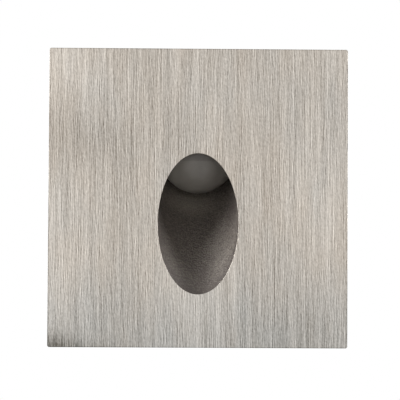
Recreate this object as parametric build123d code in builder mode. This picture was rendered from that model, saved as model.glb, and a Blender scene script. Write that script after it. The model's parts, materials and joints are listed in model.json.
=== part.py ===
from build123d import *
import math
import os

os.makedirs("parts", exist_ok=True)

# Driving dimensions, in millimetres and degrees
# X runs to the right of the face, Y into the wall and Z up
# The origin is the middle of the wall's surface, which the gasket rests on

# Face plate
plate_side = 75.0
plate_thickness = 2.0
plate_corner_radius = 0.6
plate_edge_break = 0.25
opening_width = 20.3
opening_drop = 6.5
opening_edge_break = 0.15

# Wall gasket and the hole in the wall
gasket_thickness = 1.5
gasket_inset = 1.5
gasket_corner_radius = 2.0
gasket_bore_clearance = 0.3
cutout_diameter = 60.0
collar_clearance = 0.3
collar_length = 4.0
front_disc_step = 0.5

# Housing barrel: round with two flat sides
barrel_depth = 46.0
barrel_wall = 1.7
barrel_half_width = 21.0
front_wall = 2.5
rib_height = 1.5
rib_inset = 0.5
rib_width = 1.6
rib_count = 7
rear_flange = 3.0

# Light channel, sloping up and back behind the opening
channel_slope = 35.0
channel_wall = 2.0
mouth_lip = 0.15
head_wall = 1.7
head_length = 6.0
lobe_radius = 3.0
lobe_offset = 1.4

# Lens and its seal
lens_depth = 22.2
lens_wall = 2.0
lens_clearance = 0.3
lens_shoulder = 0.4
lens_flange_width = 1.6
lens_flange_thickness = 1.8
lens_flange_clearance = 0.2
seal_section = 1.2

# LED, its board and the carrier behind them
carrier_thickness = 2.5
carrier_lip_width = 1.5
led_board_thickness = 1.6
led_board_gap = 0.2
led_board_clearance = 0.4
pad_thickness = 0.3
led_side = 3.5
led_height = 0.8
led_dome_radius = 1.4
lead_diameter = 1.2
lead_spread = 3.2
lead_offset = 7.0
lead_hole_clearance = 0.15
lead_run = 9.5
lead_drop_depth = 5.5
lead_drop_height = 9.0
lead_turn_radius = 2.8
lead_end_radius = 2.4

# Screws, studs and nuts
m3_radius = 1.5
m3_head_radius = 2.75
m3_head_height = 1.9
m25_radius = 1.25
m25_head_radius = 2.25
m25_head_height = 1.6
screw_clearance = 0.2
thread_clearance = 0.03
recess_width = 0.7
carrier_screw_length = 8.0
board_screw_length = 6.0
cover_screw_length = 11.0
stud_length = 7.5
stud_angle = 54.0
nut_flats = 5.5
nut_height = 2.4
washer_radius = 3.2
washer_thickness = 0.5

# Driver board and what it carries
board_depth = 28.0
board_thickness = 1.6
board_edge_gap = 1.5
board_top = 6.5
board_bottom = 18.0
post_radius = 2.4
post_inset = 2.8
post_high = 3.0
post_low = 9.0
lead_pad_height = 3.0
block_width = 11.0
block_height = 8.0
block_depth = 9.0
block_drop = 5.5
block_pitch = 5.0
block_screw_radius = 1.6
block_well_clearance = 0.2
block_well_depth = 6.0
block_screw_height = 2.2
block_mouth = 3.0
block_mouth_depth = 5.0
slot_width = 0.6
slot_depth = 0.7
coil_block_side = 6.0
coil_block_height = 3.5
coil_block_corner = 1.2
capacitor_radius = 3.15
capacitor_height = 8.0
capacitor_bead = 0.6
component_gap = 0.65
chip_width = 5.0
chip_height = 4.0
chip_thickness = 1.6
chip_drop = 14.3
resistor_width = 3.2
resistor_height = 1.6
resistor_thickness = 0.7

# Rear cover and its gasket
cover_thickness = 3.0
cover_edge_radius = 1.0
cover_gasket_thickness = 1.0
cover_screw_angle = 53.0
boss_radius = 3.0
boss_inset = 1.8
boss_length = 14.0

# Cable gland
gland_rise = 8.0
gland_thread_radius = 6.0
gland_fit = 0.1
gland_flats = 15.0
gland_flange = 4.0
gland_stub = 8.0
gland_bore = 3.6
gland_washer_thickness = 1.2
gland_washer_width = 2.2
locknut_height = 3.0
spigot_overhang = 1.5
seal_radius = 4.7
seal_length = 7.0
seal_fit = 0.05
cable_bore = 2.6
nut_length = 12.5
nut_gap = 0.3
nut_mouth = 3.9
nut_shoulder = 2.5

# Clip arms: pin, spring, arm and rubber tip
pivot_depth = 34.0
pin_radius = 1.25
pin_fit = 0.02
pin_head_radius = 2.2
pin_head_height = 1.0
pin_overhang = 1.6
ring_radius = 2.2
ring_thickness = 0.6
ring_groove = 0.35
arm_running_fit = 0.05
arm_thickness = 1.0
arm_half_width = 7.0
arm_tip_half_width = 5.0
arm_taper = 5.0
arm_heel = 0.5
arm_bend_depth = 20.0
arm_bend_radius = 2.0
arm_tip_depth = 9.0
arm_tip_inset = 4.0
arm_ear_radius = 2.6
arm_ear_length = 10.0
arm_stop_gap = 0.3
arm_side_gap = 0.3
lug_radius = 3.0
lug_thickness = 2.5
tip_length = 8.0
tip_wall = 1.0
tip_fit = 0.02
wire_diameter = 0.65
coil_clearance = 0.45
coil_pitch = 1.1
coil_turns = 8
leg_gap = 0.12
leg_length = 9.0
fixed_leg_lean = 8.5

# Depths along Y, worked out from the wall's surface
plate_rear = -gasket_thickness
plate_front = plate_rear - plate_thickness
front_wall_rear = plate_rear + front_wall
cover_front = barrel_depth + cover_gasket_thickness
cover_rear = cover_front + cover_thickness
board_rear = board_depth + board_thickness

# Radii and half widths of the housing
cutout_radius = cutout_diameter / 2
collar_radius = cutout_radius - collar_clearance
rib_radius = collar_radius - rib_inset
barrel_radius = rib_radius - rib_height
cavity_radius = barrel_radius - barrel_wall
cavity_half_width = barrel_half_width - barrel_wall

# Light channel frame: distances along the axis are measured from the middle of its mouth
slope = math.radians(channel_slope)
channel_radius = opening_width / 2 + mouth_lip
channel_outer_radius = channel_radius + channel_wall
channel_mouth = Vector(0, plate_rear, -opening_drop)
channel_way = Vector(0, math.sin(slope), math.cos(slope))
channel_axis = Axis(channel_mouth, channel_way)
mouth_overrun = channel_outer_radius / math.tan(slope)
lens_radius = channel_radius - lens_clearance
lens_flange_radius = lens_radius + lens_flange_width
lens_seat_radius = lens_flange_radius + lens_flange_clearance
head_radius = lens_seat_radius + head_wall
lobe_x = head_radius + lobe_offset
seat_at = lens_depth + lens_shoulder
flange_at = seat_at + seal_section
lip_at = flange_at + lens_flange_thickness
led_board_at = lip_at + led_board_gap
pad_at = led_board_at + led_board_thickness
carrier_at = pad_at + pad_thickness
carrier_end = carrier_at + carrier_thickness
lip_radius = lens_flange_radius - carrier_lip_width
led_board_radius = lip_radius - led_board_clearance
lead_radius = lead_diameter / 2
lead_hole = lead_radius + lead_hole_clearance

# Places of the screws and studs
stud_circle = cavity_radius - washer_radius - screw_clearance
stud_x = stud_circle * math.cos(math.radians(stud_angle))
stud_z = stud_circle * math.sin(math.radians(stud_angle))
stud_points = [(x, z) for x in (-stud_x, stud_x) for z in (-stud_z, stud_z)]
board_half_width = cavity_half_width - board_edge_gap
post_x = board_half_width - post_inset
post_points = [(x, z) for x in (-post_x, post_x) for z in (-post_low, post_high)]
component_x = block_width / 2 + component_gap + capacitor_radius
component_z = (post_high - post_low) / 2
boss_circle = cavity_radius - boss_inset
boss_x = boss_circle * math.cos(math.radians(cover_screw_angle))
boss_z = boss_circle * math.sin(math.radians(cover_screw_angle))
boss_points = [(x, z) for x in (-boss_x, boss_x) for z in (-boss_z, boss_z)]
lobe_points = [(-lobe_x, 0), (lobe_x, 0)]
lead_points = [(-lead_spread, lead_offset), (lead_spread, lead_offset)]

# Clip arm geometry on the right-hand side
coil_radius = pin_radius + coil_clearance + wire_diameter / 2
web_x = barrel_half_width + arm_stop_gap
pivot_x = web_x + arm_thickness + leg_gap + wire_diameter / 2 + coil_radius
arm_tip_x = plate_side / 2 - arm_tip_inset
lug_inner = arm_half_width + arm_side_gap
lug_outer = lug_inner + lug_thickness


def rear_plane(depth):
    """Sketch plane at a depth into the wall, seen from behind: Z is up and extrusions go deeper."""
    return Plane(origin=(0, depth, 0), x_dir=(-1, 0, 0), z_dir=(0, 1, 0))


def optic_plane(distance):
    """Sketch plane square to the channel at a distance from its mouth."""
    return Plane(origin=channel_mouth + channel_way * distance, x_dir=(1, 0, 0), z_dir=channel_way)


# Half section through the channel: sketch X is the radius and sketch Y the distance from the mouth
optic_section = Plane(
    origin=channel_mouth, x_dir=(1, 0, 0), z_dir=(0, -math.cos(slope), math.sin(slope))
)


def write(piece, name):
    """Label a finished piece and write it to its own file."""
    piece.part.label = name
    export_step(piece.part, f"parts/{name}.step")


def double_d(radius, half_width):
    """Draw a circle with two flat sides in the open sketch."""
    Circle(radius)
    Rectangle(2 * half_width, 2 * radius, mode=Mode.INTERSECT)


def head_outline():
    """Draw the round head with its two screw lobes in the open sketch."""
    Circle(head_radius)
    with Locations(*lobe_points):
        Circle(lobe_radius)
    make_hull()


def drill(plane, points, radius, depth):
    """Cut round holes from a plane along its normal, in the open part."""
    with BuildSketch(plane) as holes:
        with Locations(*points):
            Circle(radius)
    extrude(holes.sketch, amount=depth, mode=Mode.SUBTRACT)


def pan_screws(plane, points, shank_radius, length, head_radius, head_height):
    """Cross-recess pan-head screws whose heads stand on the plane, with shanks against its normal."""
    with BuildPart() as screws:
        with BuildSketch(plane):
            with Locations(*points):
                Circle(head_radius)
        extrude(amount=head_height)
        crowns = screws.edges().group_by(Axis(plane.origin, plane.z_dir))[-1]
        fillet(crowns, head_height / 2)
        with BuildSketch(plane):
            with Locations(*points):
                Circle(shank_radius)
        extrude(amount=-length)
        with BuildSketch(plane.offset(head_height)):
            with Locations(*points):
                Rectangle(head_radius, recess_width)
                Rectangle(recess_width, head_radius)
        extrude(amount=-head_height / 2, mode=Mode.SUBTRACT)
    return screws


# Face plate
with BuildPart() as faceplate:
    with BuildSketch(rear_plane(plate_front)):
        RectangleRounded(plate_side, plate_side, plate_corner_radius)
        with Locations((0, -opening_drop)):
            Ellipse(opening_width / 2, opening_width / 2 / math.sin(slope), mode=Mode.SUBTRACT)
    extrude(amount=plate_thickness)
    front_face = faceplate.faces().sort_by(Axis.Y)[0]
    opening_edges = front_face.inner_wires()[0].edges()
    chamfer(front_face.outer_wire().edges(), plate_edge_break)
    chamfer(opening_edges, opening_edge_break)
write(faceplate, "faceplate")

# Threaded studs welded to the back of the plate, with washers and nuts inside the housing
with BuildPart() as faceplate_studs:
    with BuildSketch(rear_plane(plate_rear)):
        with Locations(*stud_points):
            Circle(m3_radius)
    extrude(amount=stud_length)
    chamfer(faceplate_studs.edges().group_by(Axis.Y)[-1], m3_radius / 4)
write(faceplate_studs, "faceplate_studs")

with BuildPart() as stud_washers:
    with BuildSketch(rear_plane(front_wall_rear)):
        with Locations(*stud_points):
            Circle(washer_radius)
            Circle(m3_radius + screw_clearance, mode=Mode.SUBTRACT)
    extrude(amount=washer_thickness)
write(stud_washers, "stud_washers")

with BuildPart() as stud_nuts:
    with BuildSketch(rear_plane(front_wall_rear + washer_thickness)):
        with Locations(*stud_points):
            RegularPolygon(nut_flats / 2, 6, major_radius=False)
            Circle(m3_radius + thread_clearance, mode=Mode.SUBTRACT)
    extrude(amount=nut_height)
write(stud_nuts, "stud_nuts")

# Wall gasket
with BuildPart() as wall_gasket:
    with BuildSketch(rear_plane(plate_rear)):
        gasket_side = plate_side - 2 * gasket_inset
        RectangleRounded(gasket_side, gasket_side, gasket_corner_radius)
        Circle(collar_radius + gasket_bore_clearance, mode=Mode.SUBTRACT)
    extrude(amount=gasket_thickness)
write(wall_gasket, "wall_gasket")

# Outside of the light channel, with the head that holds the lens and the LED carrier
with BuildPart() as channel_tube:
    with BuildSketch(optic_plane(-mouth_overrun)):
        Circle(channel_outer_radius)
    extrude(amount=mouth_overrun + carrier_at)
    with BuildSketch(optic_plane(carrier_at - head_length)):
        head_outline()
    extrude(amount=head_length)
    split(bisect_by=rear_plane(plate_rear), keep=Keep.TOP)

# Housing: collar, ribbed barrel, light channel, posts, bosses and clip lugs in one casting
with BuildPart() as housing:
    with BuildSketch(rear_plane(plate_rear)):
        Circle(collar_radius - front_disc_step)
    extrude(amount=gasket_thickness)
    with BuildSketch(rear_plane(0)):
        Circle(collar_radius)
    extrude(amount=collar_length)
    with BuildSketch(rear_plane(collar_length)):
        double_d(barrel_radius, barrel_half_width)
    extrude(amount=barrel_depth - collar_length)
    rib_pitch = (barrel_depth - rear_flange - collar_length) / (rib_count + 1)
    for rib in range(rib_count):
        with BuildSketch(rear_plane(collar_length + (rib + 1) * rib_pitch - rib_width / 2)):
            double_d(rib_radius, barrel_half_width)
        extrude(amount=rib_width)
    with BuildSketch(rear_plane(barrel_depth - rear_flange)):
        double_d(rib_radius, barrel_half_width)
    extrude(amount=rear_flange)
    with BuildSketch(rear_plane(front_wall_rear)):
        double_d(cavity_radius, cavity_half_width)
    extrude(amount=barrel_depth - front_wall_rear, mode=Mode.SUBTRACT)
    add(channel_tube.part)
    with BuildSketch(rear_plane(barrel_depth - boss_length)):
        with Locations(*boss_points):
            Circle(boss_radius)
    extrude(amount=boss_length)
    with BuildSketch(rear_plane(front_wall_rear)):
        with Locations(*post_points):
            Circle(post_radius)
    extrude(amount=board_depth - front_wall_rear)
    for side in (-1, 1):
        for level in (-lug_outer, lug_inner):
            with BuildSketch(Plane.XY.offset(level)):
                with Locations((side * pivot_x, pivot_depth)):
                    Circle(lug_radius)
                with Locations((side * (cavity_half_width + pivot_x) / 2, pivot_depth)):
                    Rectangle(pivot_x - cavity_half_width, 2 * lug_radius)
            extrude(amount=lug_thickness)
    pin_points = [(-pivot_x, pivot_depth), (pivot_x, pivot_depth)]
    drill(Plane.XY.offset(-lug_outer), pin_points, pin_radius + pin_fit, 2 * lug_outer)
    drill(optic_plane(-mouth_overrun), [(0, 0)], channel_radius, mouth_overrun + carrier_at)
    drill(optic_plane(seat_at), [(0, 0)], lens_seat_radius, carrier_at - seat_at)
    carrier_hole = carrier_screw_length - carrier_thickness
    drill(optic_plane(carrier_at - carrier_hole), lobe_points, m25_radius + thread_clearance, carrier_hole)
    drill(rear_plane(plate_rear), stud_points, m3_radius + screw_clearance, front_wall)
    board_hole = board_screw_length - board_thickness
    drill(rear_plane(board_depth - board_hole), post_points, m25_radius + thread_clearance, board_hole)
    cover_hole = cover_screw_length - cover_thickness
    drill(rear_plane(barrel_depth - cover_hole), boss_points, m3_radius + thread_clearance, cover_hole)
write(housing, "housing")

# Dome lens: a hollow half sphere on a short collar with a flange
with BuildPart() as lens_dome:
    with BuildSketch(optic_section):
        inner = lens_radius - lens_wall
        tilt = math.sqrt(0.5)
        with BuildLine():
            Line((0, lens_depth - lens_radius), (0, lens_depth - inner))
            ThreePointArc(
                (0, lens_depth - inner),
                (inner * tilt, lens_depth - inner * tilt),
                (inner, lens_depth),
            )
            Polyline(
                (inner, lens_depth),
                (inner, lip_at),
                (lens_flange_radius, lip_at),
                (lens_flange_radius, flange_at),
                (lens_radius, flange_at),
                (lens_radius, lens_depth),
            )
            ThreePointArc(
                (lens_radius, lens_depth),
                (lens_radius * tilt, lens_depth - lens_radius * tilt),
                (0, lens_depth - lens_radius),
            )
        make_face()
    revolve(axis=channel_axis)
write(lens_dome, "lens_dome")

# Ring seal between the channel's shoulder and the lens flange
with BuildPart() as lens_seal:
    with BuildSketch(optic_section):
        with Locations(((channel_radius + lens_seat_radius) / 2, seat_at + seal_section / 2)):
            Circle(seal_section / 2)
    revolve(axis=channel_axis)
write(lens_seal, "lens_seal")

# Carrier plate: its lip clamps the lens flange and its face cools the LED board
with BuildPart() as led_carrier:
    with BuildSketch(optic_plane(carrier_at)):
        head_outline()
    extrude(amount=carrier_thickness)
    with BuildSketch(optic_plane(lip_at)):
        Circle(lens_flange_radius)
        Circle(lip_radius, mode=Mode.SUBTRACT)
    extrude(amount=carrier_at - lip_at)
    drill(optic_plane(carrier_at), lobe_points, m25_radius + screw_clearance, carrier_thickness)
    drill(optic_plane(carrier_at), lead_points, lead_hole, carrier_thickness)
write(led_carrier, "led_carrier")

carrier_screws = pan_screws(
    optic_plane(carrier_end), lobe_points, m25_radius, carrier_screw_length, m25_head_radius, m25_head_height
)
write(carrier_screws, "carrier_screws")


def led_disc(start, thickness):
    """Round layer under the LED, with the two lead holes."""
    with BuildPart() as disc:
        with BuildSketch(optic_plane(start)):
            Circle(led_board_radius)
            with Locations(*lead_points):
                Circle(lead_hole, mode=Mode.SUBTRACT)
        extrude(amount=thickness)
    return disc


write(led_disc(pad_at, pad_thickness), "thermal_pad")
write(led_disc(led_board_at, led_board_thickness), "led_board")

# LED package and its silicone dome, facing down the channel
with BuildPart() as led_base:
    with BuildSketch(optic_plane(led_board_at - led_height)):
        Rectangle(led_side, led_side)
    extrude(amount=led_height)
write(led_base, "led_base")

with BuildPart() as led_lens:
    led_face = led_board_at - led_height
    with BuildSketch(optic_section):
        with Locations((0, led_face)):
            Circle(led_dome_radius)
        with Locations((led_dome_radius, led_face - led_dome_radius)):
            Rectangle(2 * led_dome_radius, 2 * led_dome_radius, mode=Mode.INTERSECT)
    revolve(axis=channel_axis)
write(led_lens, "led_lens")

# Leads from the LED board to the driver board, in a plane on each side of the middle
for side, lead_name in ((-1, "led_lead_negative"), (1, "led_lead_positive")):
    lead_start = optic_plane(led_board_at).from_local_coords((side * lead_spread, lead_offset))
    lead_crest = lead_start + channel_way * (carrier_end - led_board_at + lead_run / 2)
    drop_depth = board_rear + lead_drop_depth
    with BuildPart() as led_lead:
        with BuildLine() as lead_line:
            FilletPolyline(
                lead_start,
                lead_crest,
                (side * lead_spread, drop_depth, lead_pad_height + lead_drop_height),
                (side * lead_spread, drop_depth, lead_pad_height),
                (side * lead_spread, board_rear, lead_pad_height),
                radius=[lead_turn_radius, lead_turn_radius, lead_end_radius],
            )
        with BuildSketch(optic_plane(led_board_at)):
            with Locations((side * lead_spread, lead_offset)):
                Circle(lead_radius)
        sweep(path=lead_line.wire())
    write(led_lead, lead_name)

# Driver board on the four posts
with BuildPart() as driver_board:
    with BuildSketch(rear_plane(board_depth)):
        with Locations((0, (board_top - board_bottom) / 2)):
            RectangleRounded(2 * board_half_width, board_top + board_bottom, post_radius)
        with Locations(*post_points):
            Circle(m25_radius + screw_clearance, mode=Mode.SUBTRACT)
    extrude(amount=board_thickness)
write(driver_board, "driver_board")

driver_board_screws = pan_screws(
    rear_plane(board_rear), post_points, m25_radius, board_screw_length, m25_head_radius, m25_head_height
)
write(driver_board_screws, "driver_board_screws")

with BuildPart() as driver_inductor:
    with BuildSketch(rear_plane(board_rear)):
        with Locations((component_x, component_z)):
            RectangleRounded(coil_block_side, coil_block_side, coil_block_corner)
    extrude(amount=coil_block_height)
    chamfer(driver_inductor.faces().sort_by(Axis.Y)[-1].edges(), coil_block_corner / 4)
write(driver_inductor, "driver_inductor")

with BuildPart() as driver_capacitor:
    with BuildSketch(rear_plane(board_rear)):
        with Locations((-component_x, component_z)):
            Circle(capacitor_radius)
    extrude(amount=capacitor_height)
    fillet(driver_capacitor.edges().group_by(Axis.Y)[-1], capacitor_bead)
write(driver_capacitor, "driver_capacitor")

with BuildPart() as driver_chip:
    with BuildSketch(rear_plane(board_rear)):
        with Locations((0, -chip_drop)):
            Rectangle(chip_width, chip_height)
    extrude(amount=chip_thickness)
write(driver_chip, "driver_chip")

with BuildPart() as driver_resistors:
    with BuildSketch(rear_plane(board_rear)):
        with Locations((-component_x, -chip_drop), (component_x, -chip_drop)):
            Rectangle(resistor_width, resistor_height)
    extrude(amount=resistor_thickness)
write(driver_resistors, "driver_resistors")

# Two-pole terminal block: wire mouths on top, clamp screws from behind
block_points = [(-block_pitch / 2, -block_drop), (block_pitch / 2, -block_drop)]
with BuildPart() as terminal_block:
    with BuildSketch(rear_plane(board_rear)):
        with Locations((0, -block_drop)):
            Rectangle(block_width, block_height)
    extrude(amount=block_depth)
    well_floor = board_rear + block_depth - block_well_depth
    drill(rear_plane(well_floor), block_points, block_screw_radius + block_well_clearance, block_well_depth)
    with BuildSketch(Plane.XY.offset(block_height / 2 - block_drop)):
        with Locations(*[(x, well_floor) for x, _ in block_points]):
            Rectangle(block_mouth, block_mouth)
    extrude(amount=-block_mouth_depth, mode=Mode.SUBTRACT)
write(terminal_block, "terminal_block")

with BuildPart() as terminal_screws:
    screw_foot = well_floor + block_mouth / 2
    with BuildSketch(rear_plane(screw_foot)):
        with Locations(*block_points):
            Circle(block_screw_radius)
    extrude(amount=block_screw_height)
    with BuildSketch(rear_plane(screw_foot + block_screw_height)):
        with Locations(*block_points):
            Rectangle(slot_width, 2 * block_screw_radius)
    extrude(amount=-slot_depth, mode=Mode.SUBTRACT)
write(terminal_screws, "terminal_screws")

# Rear cover, its gasket and screws
gland_point = (0, gland_rise)
with BuildPart() as cover_gasket:
    with BuildSketch(rear_plane(barrel_depth)):
        double_d(rib_radius, barrel_half_width)
    extrude(amount=cover_gasket_thickness)
    with BuildSketch(rear_plane(barrel_depth)):
        double_d(cavity_radius, cavity_half_width)
        with Locations(*boss_points):
            Circle(boss_radius, mode=Mode.SUBTRACT)
    extrude(amount=cover_gasket_thickness, mode=Mode.SUBTRACT)
    drill(rear_plane(barrel_depth), boss_points, m3_radius + screw_clearance, cover_gasket_thickness)
write(cover_gasket, "cover_gasket")

with BuildPart() as rear_cover:
    with BuildSketch(rear_plane(cover_front)):
        double_d(rib_radius, barrel_half_width)
    extrude(amount=cover_thickness)
    fillet(rear_cover.faces().sort_by(Axis.Y)[-1].edges(), cover_edge_radius)
    drill(rear_plane(cover_front), boss_points, m3_radius + screw_clearance, cover_thickness)
    drill(rear_plane(cover_front), [gland_point], gland_thread_radius + gland_fit, cover_thickness)
write(rear_cover, "rear_cover")

cover_screws = pan_screws(
    rear_plane(cover_rear),
    boss_points,
    m3_radius,
    cover_screw_length + cover_gasket_thickness,
    m3_head_radius,
    m3_head_height,
)
write(cover_screws, "cover_screws")

# Cable gland through the cover
hex_front = cover_rear + gland_washer_thickness
hex_rear = hex_front + gland_flange
stub_rear = hex_rear + gland_stub
spigot_front = cover_front - locknut_height - spigot_overhang

with BuildPart() as gland_washer:
    with BuildSketch(rear_plane(cover_rear)):
        with Locations(gland_point):
            Circle(gland_thread_radius + gland_washer_width)
            Circle(gland_thread_radius + gland_fit, mode=Mode.SUBTRACT)
    extrude(amount=gland_washer_thickness)
write(gland_washer, "gland_washer")

with BuildPart() as gland_body:
    with BuildSketch(rear_plane(spigot_front)):
        with Locations(gland_point):
            Circle(gland_thread_radius)
    extrude(amount=stub_rear - spigot_front)
    with BuildSketch(rear_plane(hex_front)):
        with Locations(gland_point):
            RegularPolygon(gland_flats / 2, 6, major_radius=False)
    extrude(amount=gland_flange)
    drill(rear_plane(spigot_front), [gland_point], gland_bore, stub_rear - spigot_front)
    drill(rear_plane(stub_rear - seal_length), [gland_point], seal_radius + seal_fit, seal_length)
write(gland_body, "gland_body")

with BuildPart() as gland_locknut:
    with BuildSketch(rear_plane(cover_front - locknut_height)):
        with Locations(gland_point):
            RegularPolygon(gland_flats / 2, 6, major_radius=False)
            Circle(gland_thread_radius + thread_clearance, mode=Mode.SUBTRACT)
    extrude(amount=locknut_height)
write(gland_locknut, "gland_locknut")

with BuildPart() as gland_seal:
    with BuildSketch(rear_plane(stub_rear - seal_length)):
        with Locations(gland_point):
            Circle(seal_radius)
            Circle(cable_bore, mode=Mode.SUBTRACT)
    extrude(amount=seal_length)
write(gland_seal, "gland_seal")

with BuildPart() as gland_nut:
    nut_front = hex_rear + nut_gap
    nut_rear = nut_front + nut_length
    gland_center_line = Axis((0, 0, gland_rise), (0, 1, 0))
    with BuildSketch(rear_plane(nut_front)):
        with Locations(gland_point):
            RegularPolygon(gland_flats / 2, 6, major_radius=False)
    extrude(amount=nut_length)
    with BuildSketch(Plane(origin=(0, 0, gland_rise), x_dir=(1, 0, 0), z_dir=(0, 0, 1))):
        corner_radius = gland_flats / math.sqrt(3)
        with BuildLine():
            Polyline(
                (0, nut_front),
                (corner_radius, nut_front),
                (corner_radius, nut_rear - 2 * nut_shoulder),
            )
            ThreePointArc(
                (corner_radius, nut_rear - 2 * nut_shoulder),
                (corner_radius - nut_shoulder / 3, nut_rear - nut_shoulder / 2),
                (corner_radius - nut_shoulder, nut_rear),
            )
            Polyline((corner_radius - nut_shoulder, nut_rear), (0, nut_rear), (0, nut_front))
        make_face()
    revolve(axis=gland_center_line, mode=Mode.INTERSECT)
    drill(rear_plane(nut_front), [gland_point], gland_thread_radius + thread_clearance, stub_rear - nut_front)
    drill(rear_plane(nut_front), [gland_point], nut_mouth, nut_length)
write(gland_nut, "gland_nut")

# Clip pin with a head above the upper lug and a ring groove under the lower one
with BuildPart() as clip_pin:
    pin_center = (pivot_x, pivot_depth)
    with BuildSketch(Plane.XY.offset(-lug_outer - pin_overhang)):
        with Locations(pin_center):
            Circle(pin_radius)
    extrude(amount=2 * lug_outer + pin_overhang)
    with BuildSketch(Plane.XY.offset(lug_outer)):
        with Locations(pin_center):
            Circle(pin_head_radius)
    extrude(amount=pin_head_height)
    fillet(clip_pin.edges().group_by(Axis.Z)[-1], pin_head_height / 3)
    with BuildSketch(Plane.XY.offset(-lug_outer)):
        with Locations(pin_center):
            Circle(pin_radius)
            Circle(pin_radius - ring_groove, mode=Mode.SUBTRACT)
    extrude(amount=-ring_thickness, mode=Mode.SUBTRACT)

with BuildPart() as pin_ring:
    with BuildSketch(Plane.XY.offset(-lug_outer)):
        with Locations(pin_center):
            Circle(ring_radius)
            Circle(pin_radius - ring_groove, mode=Mode.SUBTRACT)
    extrude(amount=-ring_thickness)

# Clip arm: a bent strip with two ears that turn on the pin
with BuildPart() as clip_arm:
    with BuildSketch(Plane.XY):
        with BuildLine():
            FilletPolyline(
                (web_x, pivot_depth + arm_heel),
                (web_x, arm_bend_depth),
                (arm_tip_x, arm_tip_depth),
                radius=arm_bend_radius,
            )
            offset(amount=arm_thickness, side=Side.LEFT)
        make_face()
    extrude(amount=arm_half_width, both=True)
    with BuildSketch(Plane.YZ):
        shoulder_depth = arm_bend_depth - arm_taper
        with BuildLine():
            Polyline(
                (pivot_depth + 2 * arm_heel, -arm_half_width),
                (pivot_depth + 2 * arm_heel, arm_half_width),
                (arm_bend_depth, arm_half_width),
                (shoulder_depth, arm_tip_half_width),
                (0, arm_tip_half_width),
                (0, -arm_tip_half_width),
                (shoulder_depth, -arm_tip_half_width),
                (arm_bend_depth, -arm_half_width),
                close=True,
            )
        make_face()
    extrude(amount=plate_side, mode=Mode.INTERSECT)
    for level in (-arm_half_width, arm_half_width - arm_thickness):
        with BuildSketch(Plane.XY.offset(level)):
            with Locations(pin_center):
                Circle(arm_ear_radius)
            with Locations((web_x + arm_thickness / 2, pivot_depth + arm_heel - arm_ear_length / 2)):
                Rectangle(arm_thickness, arm_ear_length)
            make_hull()
        extrude(amount=arm_thickness)
    drill(Plane.XY.offset(-arm_half_width), [pin_center], pin_radius + arm_running_fit, 2 * arm_half_width)

# Rubber cap on the end of the arm
with BuildPart() as arm_tip:
    arm_end = Vector(arm_tip_x, arm_tip_depth)
    arm_way = (arm_end - Vector(web_x, arm_bend_depth)).normalized()
    arm_middle = arm_end + Vector(-arm_way.Y, arm_way.X) * (arm_thickness / 2)
    tip_plane = Plane(origin=arm_middle - arm_way * tip_length, x_dir=(0, 0, 1), z_dir=arm_way)
    with BuildSketch(tip_plane):
        Rectangle(2 * (arm_tip_half_width + tip_wall), arm_thickness + 2 * tip_wall)
    extrude(amount=tip_length + tip_wall)
    fillet(arm_tip.edges().filter_by(Axis(arm_middle, arm_way)), tip_wall / 2)
    with BuildSketch(tip_plane):
        Rectangle(2 * (arm_tip_half_width + tip_fit), arm_thickness + 2 * tip_fit)
    extrude(amount=tip_length, mode=Mode.SUBTRACT)

# Torsion spring: one leg on the flat side of the housing, turns up the pin and one leg on the arm
coil_start = 180.0 + fixed_leg_lean
coil_end = 180.0 + 360.0 * coil_turns
quarter_count = 4 * coil_turns


def coil_point(angle):
    """Point on the coil's centre line at an angle round the pin, counted from the lower end."""
    turn = math.radians(angle)
    rise = coil_pitch * (angle - (coil_start + coil_end) / 2) / 360.0
    return Vector(pivot_x + coil_radius * math.cos(turn), pivot_depth + coil_radius * math.sin(turn), rise)


def coil_way(angle):
    """Unit direction of the wire at an angle round the pin."""
    turn = math.radians(angle)
    climb = coil_pitch / math.tau
    return Vector(-coil_radius * math.sin(turn), coil_radius * math.cos(turn), climb).normalized()


def biarc(start, start_way, end, end_way):
    """Draw two arcs from start to end, tangent to the unit directions at both ends."""
    span = end - start
    bend = 2 * (start_way.dot(end_way) - 1)
    along = 2 * span.dot(start_way + end_way)
    reach = (along - math.sqrt(along**2 - 4 * bend * span.dot(span))) / (2 * bend)
    first = start + start_way * reach
    second = end - end_way * reach
    middle = (first + second) * 0.5
    TangentArc(start, middle, tangent=start_way)
    TangentArc(middle, end, tangent=second - first)


with BuildPart() as clip_spring:
    fixed_end = coil_point(coil_start) - coil_way(coil_start) * leg_length
    moving_end = coil_point(coil_end) + coil_way(coil_end) * leg_length
    step = (coil_end - coil_start) / quarter_count
    with BuildLine() as spring_line:
        Line(fixed_end, coil_point(coil_start))
        for quarter in range(quarter_count):
            near, far = coil_start + quarter * step, coil_start + (quarter + 1) * step
            biarc(coil_point(near), coil_way(near), coil_point(far), coil_way(far))
        Line(coil_point(coil_end), moving_end)
    with BuildSketch(Plane(origin=fixed_end, z_dir=coil_way(coil_start))):
        Circle(wire_diameter / 2)
    sweep(path=spring_line.wire())


def least_gap(path, diameter, samples=600):
    """Least clear gap between points of a wound wire that lie over half a turn apart along it."""
    points = [path.position_at(i / samples) for i in range(samples + 1)]
    apart = math.ceil(math.pi * coil_radius / path.length * samples)
    return min(
        (points[i] - points[j]).length - diameter
        for i in range(samples + 1)
        for j in range(i + apart, samples + 1)
    )


print("least gap in the clip spring, mm:", round(least_gap(spring_line.wire(), wire_diameter), 3))

# The left clip is the right one turned half way round the Y axis
clip_pieces = {
    "clip_pin": clip_pin,
    "pin_ring": pin_ring,
    "clip_arm": clip_arm,
    "arm_tip": arm_tip,
    "clip_spring": clip_spring,
}
for side, turn in (("right", 0), ("left", 180)):
    for name, piece in clip_pieces.items():
        with BuildPart() as clip_piece:
            add(piece.part, rotation=(0, turn, 0))
        write(clip_piece, f"{side}_{name}")
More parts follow.
